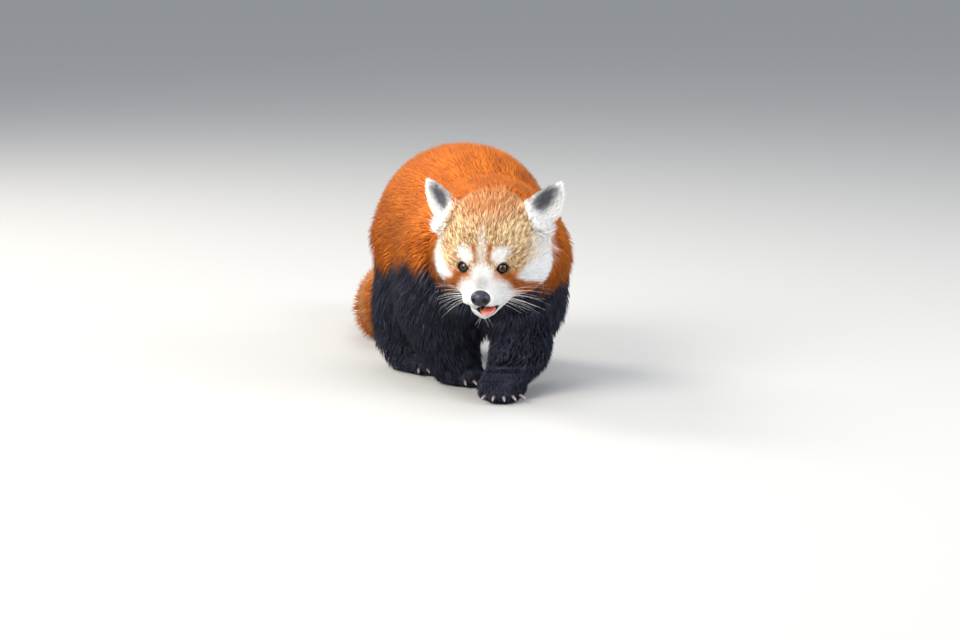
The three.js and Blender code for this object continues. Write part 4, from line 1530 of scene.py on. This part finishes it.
class PANDA_OT_claws(Operator):
    """Makes the twenty claws from the solids"""

    bl_idname = "panda.claws"
    bl_label = "Claws"

    def execute(self, context):
        tree = Tree("horn")
        grain = tree.noise(350.0)
        root = grain.mix((0.05, 0.04, 0.045), (0.10, 0.08, 0.085))
        tip = grain.mix((0.17, 0.15, 0.16), (0.28, 0.25, 0.26))
        color = tree.attribute("outer").mix(root, tip)
        material = tree.set(Base_Color=color, Roughness=0.35 + 0.15 * grain)
        points, faces, outer, count = [], [], [], 0
        for name in CLAWS:
            claw = refined_copy("claw", name, 2)
            at = mesh_points(claw.data)
            corners = [tuple(p.vertices) for p in claw.data.polygons]
            faces.append(np.array(corners) + count)
            start = at[np.argmax(at[:, 2])]
            away = np.linalg.norm(at - start, axis=1)
            points.append(at)
            outer.append(away / away.max())
            count += len(at)
            bpy.data.objects.remove(claw)
        claws = new_mesh("claws", np.concatenate(points), [np.concatenate(faces)])
        put(claws.data, "outer", np.concatenate(outer))
        finish_piece(claws, material)
        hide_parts(*CLAWS)
        return {"FINISHED"}


# Whiskers: rows down the muzzle, columns back from the nose, a few under the chin, and a hair's shape
WHISKER_ROWS = 4
WHISKER_COLUMNS = 5
CHIN_WHISKERS = 3
WHISKER_OUT = 60
WHISKER_LENGTHS = (26, 38)
CHIN_LENGTHS = (12, 18)
WHISKER_SAGS = (0.14, 0.34)
WHISKER_RADIUS = 0.12
WHISKER_TAPER = 0.8
WHISKER_ROOT = 1.5
WHISKER_STEPS = 9
WHISKER_SIDES = 4
WHISKER_DROOP = np.array([0, 0.25, -1.0])
MUZZLE_MIDDLE = np.array([0.0, -50.0, -34.0])
TOWARD_MUZZLE = np.array([0, 0.8, 0.5])
INWARD_STEPS = 60


class PANDA_OT_whiskers(Operator):
    """Makes the whiskers of the muzzle and the chin"""

    bl_idname = "panda.whiskers"
    bl_label = "Whiskers"

    def execute(self, context):
        draw = np.random.RandomState(5)
        starts, ways, lengths = [], [], []
        for side in (-1, 1):
            for row in range(WHISKER_ROWS):
                for column in range(WHISKER_COLUMNS):
                    back = -66 + 6.0 * column + draw.uniform(-1, 1)
                    up = -24 - 4.4 * row - 0.7 * column + draw.uniform(-0.8, 0.8)
                    starts.append([side * WHISKER_OUT, back, up])
                    backward = 0.30 + 0.16 * column + draw.uniform(-0.08, 0.08)
                    upward = 0.02 - 0.17 * row + draw.uniform(-0.08, 0.08)
                    ways.append([side, backward, upward])
                    lengths.append(draw.uniform(*WHISKER_LENGTHS) + 6.5 * column)
            for n in range(CHIN_WHISKERS):
                starts.append([side * (5 + 4 * n), -75 + 5 * n, -66])
                ways.append([side * (0.2 + 0.25 * n), -0.1, -1])
                lengths.append(draw.uniform(*CHIN_LENGTHS))
        starts = self.on_skin(np.array(starts, float))
        points, faces = self.tubes(starts, unit(np.array(ways, float)), lengths, draw)
        whiskers = new_mesh("whiskers", out_of_head(points), [faces])
        tree = Tree("whisker")
        color = tree.noise(60.0).mix((0.80, 0.79, 0.76), (0.92, 0.91, 0.88))
        finish_piece(whiskers, tree.set(Base_Color=color, Roughness=0.4))
        return {"FINISHED"}

    def on_skin(self, starts):
        """Moves points that stand outside the muzzle inward until they meet the skin."""
        inward = unit(MUZZLE_MIDDLE + (starts - MUZZLE_MIDDLE) * TOWARD_MUZZLE - starts)
        at = starts.copy()
        for _ in range(INWARD_STEPS):
            distance = store["head_skin"].at(out_of_head(at))
            at += inward * np.clip(distance, 0, 3)[:, None]
        return at

    def tubes(self, starts, ways, lengths, draw):
        """Points and faces of thin tapered tubes that sag under their weight."""
        points, faces, count = [], [], 0
        t = np.linspace(0, 1, WHISKER_STEPS)[:, None]
        radius = WHISKER_RADIUS * (1 - WHISKER_TAPER * t)
        for start, way, length in zip(starts, ways, lengths):
            sag = draw.uniform(*WHISKER_SAGS)
            line = start - way * WHISKER_ROOT + way * length * t + WHISKER_DROOP * sag * length * t * t
            across = unit(np.cross(way, [0.0, 0.1, 1.0]))
            up = np.cross(across, way)
            for k in range(WHISKER_SIDES):
                angle = 2 * math.pi * k / WHISKER_SIDES
                points.append(line + radius * (math.cos(angle) * across + math.sin(angle) * up))
            rows = count + np.arange(WHISKER_STEPS)[:, None]
            grid = rows + WHISKER_STEPS * np.arange(WHISKER_SIDES)[None, :]
            for k in range(WHISKER_SIDES):
                a, b = grid[:, k], grid[:, (k + 1) % WHISKER_SIDES]
                faces.append(np.stack([a[:-1], b[:-1], b[1:], a[1:]], 1))
            count += WHISKER_STEPS * WHISKER_SIDES
        return np.concatenate(points), np.concatenate(faces)


class PANDA_PT_panel(Panel):
    """Lists the steps that build the animal"""

    bl_idname = "PANDA_PT_panel"
    bl_label = "Red panda"
    bl_space_type = "VIEW_3D"
    bl_region_type = "UI"
    bl_category = "Red panda"

    def draw(self, context):
        for step in STEPS:
            self.layout.operator(step.bl_idname)
        for group_name in GROUPS:
            group = getattr(context.scene, group_name)
            for name in group.__annotations__:
                self.layout.prop(group, name)


STEPS = (
    PANDA_OT_stage,
    PANDA_OT_skin,
    PANDA_OT_body_coat,
    PANDA_OT_head_coat,
    PANDA_OT_eyes,
    PANDA_OT_nose,
    PANDA_OT_tongue,
    PANDA_OT_claws,
    PANDA_OT_whiskers,
)
CLASSES = (PandaLook, PandaCoat, PandaStage, *STEPS, PANDA_PT_panel)
GROUPS = {"panda_look": PandaLook, "panda_coat": PandaCoat, "panda_stage": PandaStage}


def register():
    for cls in CLASSES:
        bpy.utils.register_class(cls)
    for name, group in GROUPS.items():
        setattr(bpy.types.Scene, name, PointerProperty(type=group))


def unregister():
    for name in GROUPS:
        delattr(bpy.types.Scene, name)
    for cls in reversed(CLASSES):
        bpy.utils.unregister_class(cls)


def main():
    register()
    for step in STEPS:
        group, name = step.bl_idname.split(".")
        getattr(getattr(bpy.ops, group), name)()
    boxes = {"solids": solid_box, "pieces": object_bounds()}
    boxes = {name: [list(corner) for corner in box] for name, box in boxes.items()}


if __name__ == "__main__":
    main()
